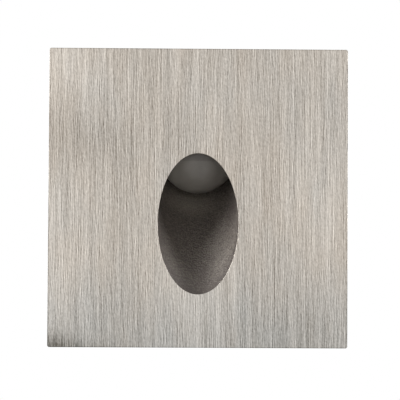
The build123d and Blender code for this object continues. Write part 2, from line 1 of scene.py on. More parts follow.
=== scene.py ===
"""Dress the recessed deck light with finer surfaces, finishes, a studio and a camera.

Lengths are in millimetres and angles in degrees unless a name says otherwise. The frame is that of
the solids: +X is to the right of the face, +Y goes into the wall, +Z is up, and the wall's surface
is at Y = 0.
"""
import json
import logging
import math
from dataclasses import dataclass
from enum import Enum
from typing import ClassVar

import bmesh
import bpy
import numpy as np
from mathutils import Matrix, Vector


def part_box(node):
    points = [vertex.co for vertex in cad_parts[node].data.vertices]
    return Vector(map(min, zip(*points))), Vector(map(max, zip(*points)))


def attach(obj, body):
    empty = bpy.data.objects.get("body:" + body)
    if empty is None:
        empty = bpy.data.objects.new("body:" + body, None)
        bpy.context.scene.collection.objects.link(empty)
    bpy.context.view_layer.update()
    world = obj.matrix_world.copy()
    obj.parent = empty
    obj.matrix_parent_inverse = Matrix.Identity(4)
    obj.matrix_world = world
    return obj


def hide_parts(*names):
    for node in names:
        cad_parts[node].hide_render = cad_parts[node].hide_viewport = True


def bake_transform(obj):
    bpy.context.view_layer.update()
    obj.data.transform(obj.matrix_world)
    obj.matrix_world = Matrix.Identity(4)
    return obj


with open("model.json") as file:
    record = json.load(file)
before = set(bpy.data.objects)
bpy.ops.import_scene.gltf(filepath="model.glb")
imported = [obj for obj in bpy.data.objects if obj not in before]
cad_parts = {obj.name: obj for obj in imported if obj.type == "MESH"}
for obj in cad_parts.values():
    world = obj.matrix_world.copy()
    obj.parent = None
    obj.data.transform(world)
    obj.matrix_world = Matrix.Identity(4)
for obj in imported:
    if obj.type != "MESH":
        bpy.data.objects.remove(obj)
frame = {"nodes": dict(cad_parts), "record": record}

Point = tuple[float, float, float]
Colour = tuple[float, float, float, float]
Object = bpy.types.Object
Socket = bpy.types.NodeSocket

LOG = logging.getLogger("deck_light")
METRES = 0.001
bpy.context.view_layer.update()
WHITE = (1.0, 1.0, 1.0, 1.0)
NOISE_MIDDLE = 0.5
EDGE_RAYS = 6
MERGE_DISTANCE = 0.0001

# The Mix node's colour sockets share their names with its other sockets, so they go by their places
COLOUR_LOW = 6
COLOUR_HIGH = 7
COLOUR_MIXED = 2


def linear(code: str) -> Colour:
    """Turn a screen colour into a linear one, by the screen's curve: straight near black, then a power.

    Args:
        code: A hex code such as "#b5afa7".

    Returns:
        Red, green, blue and an alpha of 1.
    """
    screen = np.array(list(bytes.fromhex(code[1:]))) / 255
    light = np.where(screen <= 0.04045, screen / 12.92, ((screen + 0.055) / 1.055) ** 2.4)
    return (*light.tolist(), 1.0)


def reach(node: str) -> tuple[np.ndarray, np.ndarray]:
    """A solid's lowest and highest corners, in millimetres."""
    low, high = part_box(node)
    return np.array(low) / METRES, np.array(high) / METRES


class Value:
    """A number that changes over a surface: a socket whose operators add Math nodes to its graph."""

    def __init__(self, graph: "Graph", socket: Socket) -> None:
        """Keep the socket and the graph that it belongs to."""
        self.graph = graph
        self.socket = socket

    def __add__(self, other: "Value | float") -> "Value":
        """This value plus another."""
        return self.graph.math("ADD", self, other)

    def __radd__(self, other: float) -> "Value":
        """A number plus this value."""
        return self.graph.math("ADD", other, self)

    def __sub__(self, other: "Value | float") -> "Value":
        """This value less another."""
        return self.graph.math("SUBTRACT", self, other)

    def __rsub__(self, other: float) -> "Value":
        """A number less this value."""
        return self.graph.math("SUBTRACT", other, self)

    def __mul__(self, other: "Value | float") -> "Value":
        """This value times another."""
        return self.graph.math("MULTIPLY", self, other)

    def __rmul__(self, other: float) -> "Value":
        """A number times this value."""
        return self.graph.math("MULTIPLY", other, self)

    def __truediv__(self, other: "Value | float") -> "Value":
        """This value divided by another."""
        return self.graph.math("DIVIDE", self, other)

    def __neg__(self) -> "Value":
        """This value with its sign changed."""
        return self.graph.math("MULTIPLY", self, -1.0)

    def size(self) -> "Value":
        """This value without its sign."""
        return self.graph.math("ABSOLUTE", self)

    def exp(self) -> "Value":
        """The number e to the power of this value."""
        return self.graph.math("EXPONENT", self)

    def most(self, other: "Value | float") -> "Value":
        """The larger of this value and another."""
        return self.graph.math("MAXIMUM", self, other)

    def rise(self, low: float, high: float) -> "Value":
        """Go smoothly from 0 to 1.

        Args:
            low: Where the result is 0.
            high: Where the result is 1, above or below the low end.

        Returns:
            The share of the way from the low end to the high one.
        """
        settings = {"interpolation_type": "SMOOTHSTEP"}
        node = self.graph.node("ShaderNodeMapRange", settings, {0: self, 1: low, 2: high})
        return Value(self.graph, node.outputs[0])


class Graph:
    """A node tree that is written as expressions."""

    def __init__(self, tree: bpy.types.NodeTree) -> None:
        """Start from an empty tree."""
        self.tree = tree
        tree.nodes.clear()

    def feed(self, socket: Socket, given: object) -> None:
        """Link or set a socket.

        Args:
            socket: The input that is fed.
            given: A value or another socket to link, or a number or colour to set.
        """
        source = given.socket if isinstance(given, Value) else given
        if isinstance(source, Socket):
            self.tree.links.new(source, socket)
        else:
            socket.default_value = source

    def node(self, kind: str, settings: dict | None = None, inputs: dict | None = None) -> bpy.types.Node:
        """Add a node.

        Args:
            kind: The node's type.
            settings: Its options by name, which are set first.
            inputs: What its sockets are fed with, by name or place.

        Returns:
            The node.
        """
        node = self.tree.nodes.new(kind)
        for name, setting in (settings or {}).items():
            setattr(node, name, setting)
        for name, given in (inputs or {}).items():
            self.feed(node.inputs[name], given)
        return node

    def math(self, operation: str, *terms: Value | float) -> Value:
        """Add a Math node.

        Args:
            operation: What the node works out.
            terms: One or two numbers or values.

        Returns:
            The result.
        """
        node = self.node("ShaderNodeMath", {"operation": operation}, dict(enumerate(terms)))
        return Value(self, node.outputs[0])


class Surface(Graph):
    """A material: a Principled shader and the patterns that its sockets read."""

    def __init__(self, name: str) -> None:
        """Add the material, its shader and its Object coordinates.

        Args:
            name: The material's name.
        """
        self.material = bpy.data.materials.new(name)
        self.material.use_nodes = True
        super().__init__(self.material.node_tree)
        self.shader = self.node("ShaderNodeBsdfPrincipled")
        self.output = self.node("ShaderNodeOutputMaterial", None, {"Surface": self.shader.outputs[0]})
        self.place = self.node("ShaderNodeTexCoord").outputs["Object"]

    def scaled(self, per_mm: Point) -> Socket:
        """Object coordinates, counted so many times for each millimetre along each axis."""
        scale = [count / METRES for count in per_mm]
        return self.node("ShaderNodeMapping", None, {"Vector": self.place, "Scale": scale}).outputs[0]

    def leaned(self, middle: Point, lean: float) -> Socket:
        """Count Object coordinates in millimetres from a middle, with +Z leaned back towards +Y.

        Args:
            middle: Where the coordinates are 0.
            lean: The angle that +Z leans by.

        Returns:
            The coordinates.
        """
        inputs = {
            "Vector": self.place,
            "Location": [along * METRES for along in middle],
            "Rotation": (-math.radians(lean), 0.0, 0.0),
            "Scale": (METRES,) * 3,
        }
        return self.node("ShaderNodeMapping", {"vector_type": "TEXTURE"}, inputs).outputs[0]

    def axes(self, place: Socket | None = None) -> tuple[Value, Value, Value]:
        """The X, Y and Z of a place, or of the surface in millimetres."""
        node = self.node("ShaderNodeSeparateXYZ", None, {0: place or self.scaled((1.0, 1.0, 1.0))})
        return tuple(Value(self, socket) for socket in node.outputs)

    def joined(self, *counts: Value) -> Socket:
        """A place from its X, Y and Z."""
        return self.node("ShaderNodeCombineXYZ", None, dict(enumerate(counts))).outputs[0]

    def noise(self, clouds: Point | float | Socket, detail: float = 2.0) -> Value:
        """Add cloudy noise.

        Args:
            clouds: Clouds for each millimetre, one count or one for each axis, or a place counted in clouds.
            detail: How many finer layers are added.

        Returns:
            Values about 0, mostly between -0.25 and 0.25.
        """
        if isinstance(clouds, float):
            clouds = (clouds,) * 3
        place = self.scaled(clouds) if isinstance(clouds, tuple) else clouds
        inputs = {"Vector": place, "Scale": 1.0, "Detail": detail}
        return Value(self, self.node("ShaderNodeTexNoise", None, inputs).outputs[0]) - NOISE_MIDDLE

    def cells(self, per_mm: float) -> Value:
        """Distance to the middle of the nearest cell, about 0 to 1, with so many cells a millimetre."""
        inputs = {"Vector": self.scaled((per_mm,) * 3), "Scale": 1.0}
        return Value(self, self.node("ShaderNodeTexVoronoi", None, inputs).outputs["Distance"])

    def mix(self, factor: Value, low: object, high: object) -> Socket:
        """Go from one colour to another.

        Args:
            factor: 0 for the first colour, 1 for the second.
            low: A hex code or a colour socket.
            high: A hex code or a colour socket.

        Returns:
            The mixed colour.
        """
        colours = [linear(c) if isinstance(c, str) else c for c in (low, high)]
        inputs = {0: factor, COLOUR_LOW: colours[0], COLOUR_HIGH: colours[1]}
        return self.node("ShaderNodeMix", {"data_type": "RGBA"}, inputs).outputs[COLOUR_MIXED]

    def softened(self, radius: float) -> Socket:
        """The surface's direction, as if its edges were rounded to a radius."""
        return self.node("ShaderNodeBevel", {"samples": EDGE_RAYS}, {"Radius": radius * METRES}).outputs[0]

    def edges(self, rounded: Socket) -> Value:
        """Find how near to an edge the surface is: 1 less the cosine between two directions.

        Args:
            rounded: The direction of the surface with its edges rounded.

        Returns:
            0 away from edges and about 0.3 on one.
        """
        inputs = {0: rounded, 1: self.node("ShaderNodeNewGeometry").outputs["Normal"]}
        node = self.node("ShaderNodeVectorMath", {"operation": "DOT_PRODUCT"}, inputs)
        return 1.0 - Value(self, node.outputs["Value"])

    def bump(self, height: Value, depth: float, under: Socket | None = None) -> None:
        """Raise and sink the surface.

        Args:
            height: The relief, in shares of the depth.
            depth: How deep a relief of 1 is.
            under: The direction that the relief stands on, if it isn't the surface's own.
        """
        inputs = {"Distance": depth * METRES, "Height": height}
        if under is not None:
            inputs["Normal"] = under
        self.set(Normal=self.node("ShaderNodeBump", None, inputs).outputs[0])

    def set(self, **sockets: object) -> None:
        """Set or link the shader's sockets, named with _ for a space."""
        for name, given in sockets.items():
            self.feed(self.shader.inputs[name.replace("_", " ")], given)


class Shares:
    """A sum of patterns: a middle value, and how much of each pattern is added, by the pattern's name."""

    def __init__(self, middle: float, **shares: float) -> None:
        """Keep the middle and the shares."""
        self.middle = middle
        self.shares = shares

    def of(self, patterns: dict[str, Value]) -> Value:
        """The middle plus each share times its pattern."""
        return sum((share * patterns[name] for name, share in self.shares.items()), self.middle)


@dataclass(frozen=True)
class Finish:
    """What every finish has: its name, its dark and light colours and how rough it is."""

    name: str
    dark: str
    light: str
    roughness: float

    def material(self) -> bpy.types.Material:
        """Make the finish's material the first time that it is asked for.

        Returns:
            The material.
        """
        made = bpy.data.materials.get(self.name)
        if made is None:
            surface = Surface(self.name)
            self.paint(surface)
            made = surface.material
        return made

    def paint(self, surface: Surface) -> None:
        """Link what varies over the surface, which each kind of finish says for itself."""
        raise NotImplementedError

    def shade(self, surface: Surface, tone: Value, gloss: Value) -> None:
        """Go from the dark colour to the light one by a tone, and from the plain roughness by a gloss."""
        surface.set(Base_Color=surface.mix(tone, self.dark, self.light), Roughness=self.roughness + gloss)


class Grain(Enum):
    """Which way brush lines run: each axis is crossed by them (1) or runs along them (0)."""

    UPRIGHT = (1, 1, 0)
    LEVEL = (0, 0, 1)

    def strokes(self, surface: Surface, width: float, length: float, aside: float = 0.0) -> Value:
        """Add noise that is drawn out along the lines.

        A place is counted in widths across the lines and in lengths along them. For each width across,
        it is also moved along by a share of a length, so that the strokes start at different heights
        from line to line.

        Args:
            surface: The material.
            width: How wide a stroke is.
            length: How long a stroke is.
            aside: How far the strokes are moved across the lines.

        Returns:
            Values about 0, mostly between -0.25 and 0.25.
        """
        stagger = 0.37
        places = list(surface.axes())
        first = self.value.index(1)
        places[first] = places[first] + aside
        axes = list(zip(places, self.value))
        shift = stagger / width * sum(axis for axis, crossed in axes if crossed)
        counts = [axis / width if crossed else axis / length + shift for axis, crossed in axes]
        return surface.noise(surface.joined(*counts), detail=1.0)

    def grooves(self, surface: Surface, width: float, length: float) -> Value:
        """Strokes less the same strokes moved across by a width: each has a lit side and a dark side."""
        return self.strokes(surface, width, length) - self.strokes(surface, width, length, width)


@dataclass(frozen=True)
class Stroke:
    """How large brush strokes are: their width in lines, and how many of them fit in a run."""

    widths: float
    per_run: float


@dataclass(frozen=True)
class Patch:
    """A darker or paler place on a surface, fading out from its middle."""

    x: float
    z: float
    half_width: float
    half_height: float
    gain: float

    def value(self, x: Value, z: Value) -> Value:
        """Work out a bell curve: the gain times e to the power of minus the squared distance in half sizes.

        Args:
            x: The place across.
            z: The place up or along.

        Returns:
            The gain in the middle, and about 0 past two half sizes.
        """
        across = (x - self.x) / self.half_width
        up = (z - self.z) / self.half_height
        return (-(across * across + up * up)).exp() * self.gain


@dataclass(frozen=True)
class BrushedSteel(Finish):
    """Stainless steel with brush lines, warm and cool streaks and broad painted reflections, paler and
    darker.

    A plate with a half size also has a rim of painted shade, and is painted cooler from below its
    middle down to its lower edge, along with its painted darker reflections there.
    """

    warm: tuple[str, str]
    grain: Grain
    line: float
    run: float
    contrast: float
    half_size: float | None = None
    # Painted reflections: paler and darker places where the plate reflects its surroundings
    painted_reflections: tuple[Patch, ...] = ()
    hair: Stroke = Stroke(2.0, 40.0)
    groove: Stroke = Stroke(1.7, 7.0)
    streak: Stroke = Stroke(1.0, 1.0)
    band: Stroke = Stroke(8.0, 0.5)
    middle: float = 0.45
    marks: Shares = Shares(0.0, hair=0.33, grooves=0.47, streaks=0.83, bands=0.2)
    gloss: Shares = Shares(0.0, grooves=0.25, hair=0.12)
    relief: Shares = Shares(0.0, grooves=1.0, hair=0.6)
    relief_depth: float = 0.004
    tint: Shares = Shares(0.5, clouds=0.75)
    tint_clouds: Point = (0.16, 0.16, 0.05)
    # The rim is painted shade along the plate's edges, and the cooling a painted cooler tone towards its
    # lower edge
    rim_width: float = 0.3
    rim_shade: float = 0.3
    cool_start: float = -0.3
    cool_shade: float = 0.4

    def size(self, stroke: Stroke) -> tuple[float, float]:
        """A stroke's width and length."""
        return stroke.widths * self.line, self.run / stroke.per_run

    def paint(self, surface: Surface) -> None:
        """Mix dark with light by the tone, for a cool and a warm steel, and mix these two by the tint.

        The tone is a middle value plus hair lines, grooves, streaks, bands and painted reflections, less
        a rim of painted shade. The tint is cloudy, and painted cooler towards the lower edge. Hair lines
        and grooves also give the gloss and the relief.

        Args:
            surface: The material.
        """
        patterns = {
            "hair": self.grain.strokes(surface, *self.size(self.hair)),
            "grooves": self.grain.grooves(surface, *self.size(self.groove)),
            "streaks": self.grain.strokes(surface, *self.size(self.streak)),
            "bands": self.grain.strokes(surface, *self.size(self.band)),
        }
        x, _, z = surface.axes()
        tone = self.middle + self.contrast * self.marks.of(patterns)
        tint = self.tint.of({"clouds": surface.noise(self.tint_clouds, detail=3.0)})
        # Painted reflections make the plate paler and darker in places
        for patch in self.painted_reflections:
            tone = tone + patch.value(x, z)
        # Painted shade along the plate's rim, and a painted cooler tone towards its lower edge
        if self.half_size is not None:
            rim = x.size().most(z.size()).rise(self.half_size - self.rim_width, self.half_size)
            tone = tone - self.rim_shade * rim
            tint = tint - self.cool_shade * z.rise(self.cool_start * self.half_size, -self.half_size)
        cool = surface.mix(tone, self.dark, self.light)
        warm = surface.mix(tone, *self.warm)
        surface.set(Base_Color=surface.mix(tint, cool, warm), Metallic=1.0)
        surface.set(Roughness=self.roughness + self.gloss.of(patterns))
        surface.bump(self.relief.of(patterns), self.relief_depth)


@dataclass(frozen=True)
class Bore:
    """A round hole in a casting: where it starts, how far it leans back, and how wide and deep it is.

    What lies less than the near margin outside its radius counts as its wall. The count fades out up
    to the far margin and, past its depth, up to the end margin.
    """

    mouth: Point
    lean: float
    radius: float
    length: float
    near: float = 0.1
    far: float = 0.5
    end: float = 2.0

    def inside(self, x: Value, across: Value, along: Value) -> Value:
        """1 on the bore's wall and 0 elsewhere, from a place along its axis and the two across it."""
        wall = (x * x + across * across).rise((self.radius + self.far) ** 2, (self.radius + self.near) ** 2)
        return wall * along.rise(self.length + self.end, self.length)


@dataclass(frozen=True)
class BoredCasting(Finish):
    """A casting in baked powder paint with a bored channel, whose bronzed wall keeps fine turning marks."""

    grains: float
    depth: float
    edge: float
    bore: Bore
    bore_dark: str
    bore_light: str
    marks: float
    mark_depth: float
    # Painted highlights and painted shade on the bore's wall
    painted_highlights_and_shade: tuple[Patch, ...]
    specks_per_grain: float = 2.7
    marks_round: float = 0.8
    # How far in from the mouth the wall's painted shade reaches
    lip: float = 3.0
    rub: tuple[float, float] = (0.02, 0.3)
    paint_tone: Shares = Shares(0.42, grain=1.5, specks=0.8, rubbed=0.35)
    # The wall's tone is painted darker near the mouth, a painted shade
    wall_tone: Shares = Shares(0.142, marks=0.35, grain=0.85, specks=0.6, lip=-0.12)
    wall_metal: float = 0.12
    gloss: Shares = Shares(0.0, grain=0.3, rubbed=-0.1)
    relief: Shares = Shares(0.0, grain=1.0, specks=0.45)

    def paint(self, surface: Surface) -> None:
        """Grain and specks shade the paint, and short rings about the bore's axis shade its wall.

        The paint leans to its light colour where edges are rubbed. Painted highlights and painted shade
        make the wall paler and darker in places, and painted shade darkens it towards the lip. The relief
        is worked out in millimetres: the wall has twice the paint's grain, and its marks.

        Args:
            surface: The material.
        """
        rounded = surface.softened(self.edge)
        x, across, along = surface.axes(surface.leaned(self.bore.mouth, self.bore.lean))
        inside = self.bore.inside(x, across, along)
        rings = surface.joined(self.marks_round * x, self.marks_round * across, self.marks * along)
        mouth = self.bore.mouth[1]
        patterns = {
            "grain": surface.noise(self.grains, detail=3.0),
            "specks": surface.noise(self.specks_per_grain * self.grains),
            "rubbed": surface.edges(rounded).rise(*self.rub),
            "marks": surface.noise(rings, detail=1.0),
            # Painted shade: the wall darkens towards the mouth
            "lip": surface.axes()[1].rise(mouth + self.lip, mouth),
        }
        tone = self.wall_tone.of(patterns)
        # Painted highlights and painted shade on the wall
        for place in self.painted_highlights_and_shade:
            tone = tone + place.value(x, along)
        wall = surface.mix(tone, self.bore_dark, self.bore_light)
        paint = surface.mix(self.paint_tone.of(patterns), self.dark, self.light)
        surface.set(Base_Color=surface.mix(inside, paint, wall), Metallic=self.wall_metal * inside)
        surface.set(Roughness=self.roughness + self.gloss.of(patterns))
        rough = self.depth * self.relief.of(patterns)
        relief = rough + inside * (rough + self.mark_depth * patterns["marks"])
        surface.bump(relief, 1.0, rounded)


@dataclass(frozen=True)
class FrostedLens(Finish):
    """Satin glass: soft clouds, fine tooth and a dull shine, with painted light and painted reflections."""

    # Painted light on the lens: paler up to the crown, a painted darker reflection above it that fades out
    # sideways, and painted glints between the two sides
    crown: float
    crown_span: float = 7.0
    painted_crown_span: float = 0.3
    painted_crown_fall: float = 0.05
    sides: tuple[float, float] = (4.5, 6.3)
    clouds: float = 0.22
    tooth: float = 6.5
    tooth_depth: float = 0.012
    index: float = 1.5
    # All of the tone but the clouds and the tooth is painted light and painted reflections
    tone: Shares = Shares(
        0.195, painted_light_to_crown=0.125, clear=-0.2, side=0.2, across=-0.035, square=0.0045, cloud=0.45, tooth=0.22
    )
    gloss: Shares = Shares(0.0, cloud=0.25, tooth=0.1)

    def paint(self, surface: Surface) -> None:
        """Clouds and tooth shade the colour and the gloss.

        Painted light: the tone is paler up to the crown, and painted darker above it as a painted
        reflection. Painted glints make it paler towards the sides, and a painted reflection more so on
        the left: to the share of X itself, a share of its square is added.

        Args:
            surface: The material.
        """
        x, _, z = surface.axes()
        patterns = {
            # Painted light: paler up to the crown, a painted darker reflection above it, painted glints at
            # the sides and a painted reflection paler on the left
            "painted_light_to_crown": z.rise(self.crown - self.crown_span, self.crown),
            "clear": z.rise(self.crown, self.crown + self.painted_crown_span) * (-self.painted_crown_fall * x * x).exp(),
            "side": x.size().rise(*self.sides),
            "across": x,
            "square": x * x,
            "cloud": surface.noise(self.clouds),
            "tooth": surface.noise(self.tooth),
        }
        self.shade(surface, self.tone.of(patterns), self.gloss.of(patterns))
        surface.set(IOR=self.index)
        surface.bump(patterns["tooth"], self.tooth_depth)


@dataclass(frozen=True)
class CellFoam(Finish):
    """Closed-cell foam: small round cells with darker middles."""

    cells: float
    dust: float = 0.6
    cell_depth: float = 0.05
    shine: float = 0.3
    tone: Shares = Shares(0.15, cell=0.7, dust=0.8)
    gloss: Shares = Shares(0.0, dust=0.15)

    def paint(self, surface: Surface) -> None:
        """Distance from each cell's middle gives the relief and, with noise, the tone.

        Args:
            surface: The material.
        """
        patterns = {"cell": surface.cells(self.cells), "dust": surface.noise(self.dust, detail=3.0)}
        self.shade(surface, self.tone.of(patterns), self.gloss.of(patterns))
        surface.set(Specular_IOR_Level=self.shine)
        surface.bump(patterns["cell"], self.cell_depth)


@dataclass(frozen=True)
class Moulding(Finish):
    """Moulded plastic, rubber, epoxy or ceramic: fine texture, faint flow clouds and softened edges."""

    texture: float
    depth: float
    edge: float = 0.12
    clouds: float = 0.12
    rub: tuple[float, float] = (0.03, 0.35)
    tone: Shares = Shares(0.42, cloud=0.7, texture=0.55, rubbed=0.4)
    gloss: Shares = Shares(0.0, texture=0.2, cloud=0.25, rubbed=-0.08)

    def paint(self, surface: Surface) -> None:
        """Texture and clouds shade the colour and the gloss, and edges wear a little paler and smoother.

        Args:
            surface: The material.
        """
        rounded = surface.softened(self.edge)
        patterns = {
            "texture": surface.noise(self.texture),
            "cloud": surface.noise(self.clouds, detail=3.0),
            "rubbed": surface.edges(rounded).rise(*self.rub),
        }
        self.shade(surface, self.tone.of(patterns), self.gloss.of(patterns))
        surface.bump(patterns["texture"], self.depth, rounded)


@dataclass(frozen=True)
class PlatedMetal(Finish):
    """Plated or bare metal: cloudy plating, scuffs and softened bright edges."""

    scuff: float
    edge: float = 0.1
    clouds: float = 0.35
    scuff_ways: Point = (1.0, 0.3, 0.7)
    scuff_depth: float = 0.004
    rub: tuple[float, float] = (0.02, 0.3)
    tone: Shares = Shares(0.5, cloud=0.9, scuff=0.7, rubbed=0.4)
    gloss: Shares = Shares(0.0, scuff=0.35, cloud=0.2)

    def paint(self, surface: Surface) -> None:
        """Clouds and scuffs shade the colour and the gloss, and edges are rubbed bright.

        Args:
            surface: The material.
        """
        rounded = surface.softened(self.edge)
        patterns = {
            "cloud": surface.noise(self.clouds, detail=3.0),
            "scuff": surface.noise(tuple(self.scuff * way for way in self.scuff_ways), detail=3.0),
            "rubbed": surface.edges(rounded).rise(*self.rub),
        }
        self.shade(surface, self.tone.of(patterns), self.gloss.of(patterns))
        surface.set(Metallic=1.0)
        surface.bump(patterns["scuff"], self.scuff_depth, rounded)


@dataclass(frozen=True)
class BoardMask(Finish):
    """A circuit board's solder mask, with copper tracks showing paler through it.

    A track's width, blur and spacing are counted in the track's own measure.
    """

    track: float
    track_width: float = 0.12
    track_blur: float = 0.2
    spacing: tuple[float, float] = (2.3, 1.1)
    stagger: float = 0.37
    weave: float = 5.0
    paler: Shares = Shares(0.25, weave=0.8)
    gloss: Shares = Shares(0.0, weave=0.15)
    relief: Shares = Shares(0.0, tracks=1.0, weave=0.2)
    relief_depth: float = 0.03

    def paint(self, surface: Surface) -> None:
        """A brick pattern's joints are the tracks: they lighten the mask and stand a little proud.

        Args:
            surface: The material.
        """
        inputs = {
            "Vector": self.turned(surface),
            "Color1": linear(self.dark),
            "Color2": linear(self.dark),
            "Mortar": linear(self.light),
            "Scale": 1.0,
            "Mortar Size": self.track_width,
            "Mortar Smooth": self.track_blur,
            "Brick Width": self.spacing[0],
            "Row Height": self.spacing[1],
        }
        bricks = surface.node("ShaderNodeTexBrick", {"offset": self.stagger}, inputs)
        patterns = {
            "tracks": Value(surface, bricks.outputs["Fac"]),
            "weave": surface.noise(self.weave, detail=1.0),
        }
        base = surface.mix(self.paler.of(patterns), bricks.outputs["Color"], self.light)
        surface.set(Base_Color=base, Roughness=self.roughness + self.gloss.of(patterns))
        surface.bump(self.relief.of(patterns), self.relief_depth)

    def turned(self, surface: Surface) -> Socket:
        """Lay Object coordinates over, so that the tracks lie in the board's upright plane.

        Args:
            surface: The material.

        Returns:
            The coordinates, counted in the track's measure.
        """
        scale = [1 / (self.track * METRES)] * 3
        inputs = {"Vector": surface.place, "Rotation": (math.radians(90), 0.0, 0.0), "Scale": scale}
        return surface.node("ShaderNodeMapping", None, inputs).outputs[0]


# Painted reflections on the plate, paler and darker places: the middle's X and Z, the half width
# and height, and the gain
PLATE_PAINTED_REFLECTIONS = (
    Patch(-35.0, 34.0, 9.0, 9.0, 0.115),
    Patch(-26.0, 14.0, 17.0, 8.0, -0.085),
    Patch(-36.0, -11.0, 8.0, 20.0, 0.085),
    Patch(-37.5, -37.5, 6.0, 3.7, -0.28),
    Patch(-30.0, -38.0, 12.0, 2.2, -0.12),
    Patch(8.0, -36.0, 46.0, 16.0, -0.105),
    Patch(29.5, -6.0, 5.0, 16.0, 0.08),
    Patch(37.0, 36.0, 7.0, 7.0, 0.07),
    Patch(0.0, -26.0, 10.0, 14.0, 0.11),
)
FACE_STEEL = BrushedSteel(
    "face_steel",
    "#575650",
    "#f1eee9",
    0.34,
    warm=("#655442", "#faeedf"),
    grain=Grain.UPRIGHT,
    line=0.12,
    run=22.0,
    contrast=1.12,
    half_size=float(reach("faceplate")[1][0]),
    # Paler and darker painted reflections on the plate
    painted_reflections=PLATE_PAINTED_REFLECTIONS,
)
ARM_STEEL = BrushedSteel(
    "arm_steel",
    "#5f5e5c",
    "#e6e5e1",
    0.3,
    warm=("#5f5e5c", "#e8e1d6"),
    grain=Grain.LEVEL,
    line=0.14,
    run=9.0,
    contrast=0.75,
)
# Painted highlights and painted shade on the channel's wall, in the same columns, where heights
# are counted along the channel from its mouth
CHANNEL_PAINTED_LIGHT = (
    Patch(-2.0, 13.4, 6.3, 3.0, 0.5),
    Patch(6.0, -4.5, 3.2, 6.0, 0.07),
    Patch(9.2, 9.5, 2.0, 4.0, -0.15),
    Patch(1.5, -7.0, 2.5, 5.0, -0.1),
    Patch(-9.8, 1.0, 1.4, 9.0, -0.13),
    Patch(-2.0, 15.5, 5.0, 0.9, 0.18),
    Patch(7.0, 17.2, 1.5, 1.2, -0.16),
)
LENS_FROST = FrostedLens("lens_frost", "#5a5652", "#9d9a94", 0.4, 9.4)
GASKET_FOAM = CellFoam("closed_cell_foam", "#131313", "#3a3a3b", 0.85, 3.2)
SEAL_RUBBER = Moulding("seal_rubber_dressed", "#131313", "#2f2f2f", 0.62, 2.2, 0.02)
COVER_PLASTIC = Moulding("spark_black_plastic", "#1c1c1d", "#3d3d3f", 0.5, 3.0, 0.03, 0.3)
GLAND_NYLON = Moulding("satin_nylon", "#19191a", "#3a3a3b", 0.4, 1.6, 0.012, 0.2)
BLOCK_PLASTIC = Moulding("block_plastic", "#0f5a2a", "#2f8a50", 0.38, 2.0, 0.01)
CHIP_EPOXY = Moulding("chip_moulding", "#1b1b1d", "#3c3c3f", 0.55, 4.0, 0.01)
FERRITE = Moulding("pressed_ferrite", "#29292b", "#56565a", 0.6, 2.5, 0.02)
CERAMIC = Moulding("bare_ceramic", "#d2cfc6", "#f0eee8", 0.45, 3.0, 0.008)
PAD_SILICONE = Moulding("filled_silicone", "#9aa0a8", "#c6cbd2", 0.7, 2.0, 0.02)
LED_SILICONE = Moulding("phosphor_silicone", "#d99b1c", "#f6d04e", 0.2, 2.0, 0.004)
RED_SHEATH = Moulding("red_sheath", "#8f1010", "#c92a22", 0.35, 2.0, 0.006)
BLACK_SHEATH = Moulding("black_sheath", "#141414", "#323232", 0.35, 2.0, 0.006)
ZINC = PlatedMetal("bright_zinc", "#85868a", "#dcdcd8", 0.28, 1.6)
DRAWN_STEEL = PlatedMetal("drawn_steel", "#77777a", "#d6d5d1", 0.3, 2.4)
ALUMINIUM = PlatedMetal("machined_aluminium", "#a2a4a7", "#e4e5e6", 0.33, 1.2)
CAN_SLEEVE = PlatedMetal("drawn_can", "#9fa1a4", "#e0e1e2", 0.3, 0.8)
GREEN_MASK = BoardMask("green_mask", "#0c4a22", "#2d7a45", 0.35, 1.4)
WHITE_MASK = BoardMask("white_mask", "#dedcd4", "#f4f3ee", 0.4, 1.1)


def soften(corners: list[tuple[float, float]], start: float, steps: int = 4) -> np.ndarray:
    """Round the inner corners of a line of points.

    A corner C becomes the parabola (1 - t)^2 A + 2 t (1 - t) C + t^2 B, where A and B lie on its two
    sides, where its curve begins and ends. A support point stands before and after each curve, so that
    the flats beside it stay flat.

    Args:
        corners: The points of the line.
        start: How far from a corner its curve begins.
        steps: Steps in each curve.

    Returns:
        The points of the rounded line.
    """
    most_of_side = 0.48
    support = 1.7 * start
    line = np.asarray(corners, float)
    here = line[1:-1]

    def along(ends: np.ndarray, distance: float) -> np.ndarray:
        """Points at a distance from each corner towards its neighbours, short of half the way."""
        run = ends - here
        return here + run * np.minimum(distance / np.linalg.norm(run, axis=1, keepdims=True), most_of_side)

    first, last = along(line[:-2], start), along(line[2:], start)
    t = np.linspace(0.0, 1.0, steps + 1)[None, :, None]
    curve = (1 - t) ** 2 * first[:, None] + 2 * t * (1 - t) * here[:, None] + t**2 * last[:, None]
    before, after = along(line[:-2], support), along(line[2:], support)
    rows = np.concatenate([before[:, None], curve, after[:, None]], axis=1)
    return np.concatenate([line[:1], rows.reshape(-1, 2), line[-1:]])


def poled(grid: np.ndarray) -> np.ndarray:
    """Close a tube's open ends: each end row is followed by a row at its middle."""
    ends = [np.broadcast_to(row.mean(axis=0), row.shape)[None] for row in (grid[0], grid[-1])]
    return np.concatenate([ends[0], grid, ends[1]])


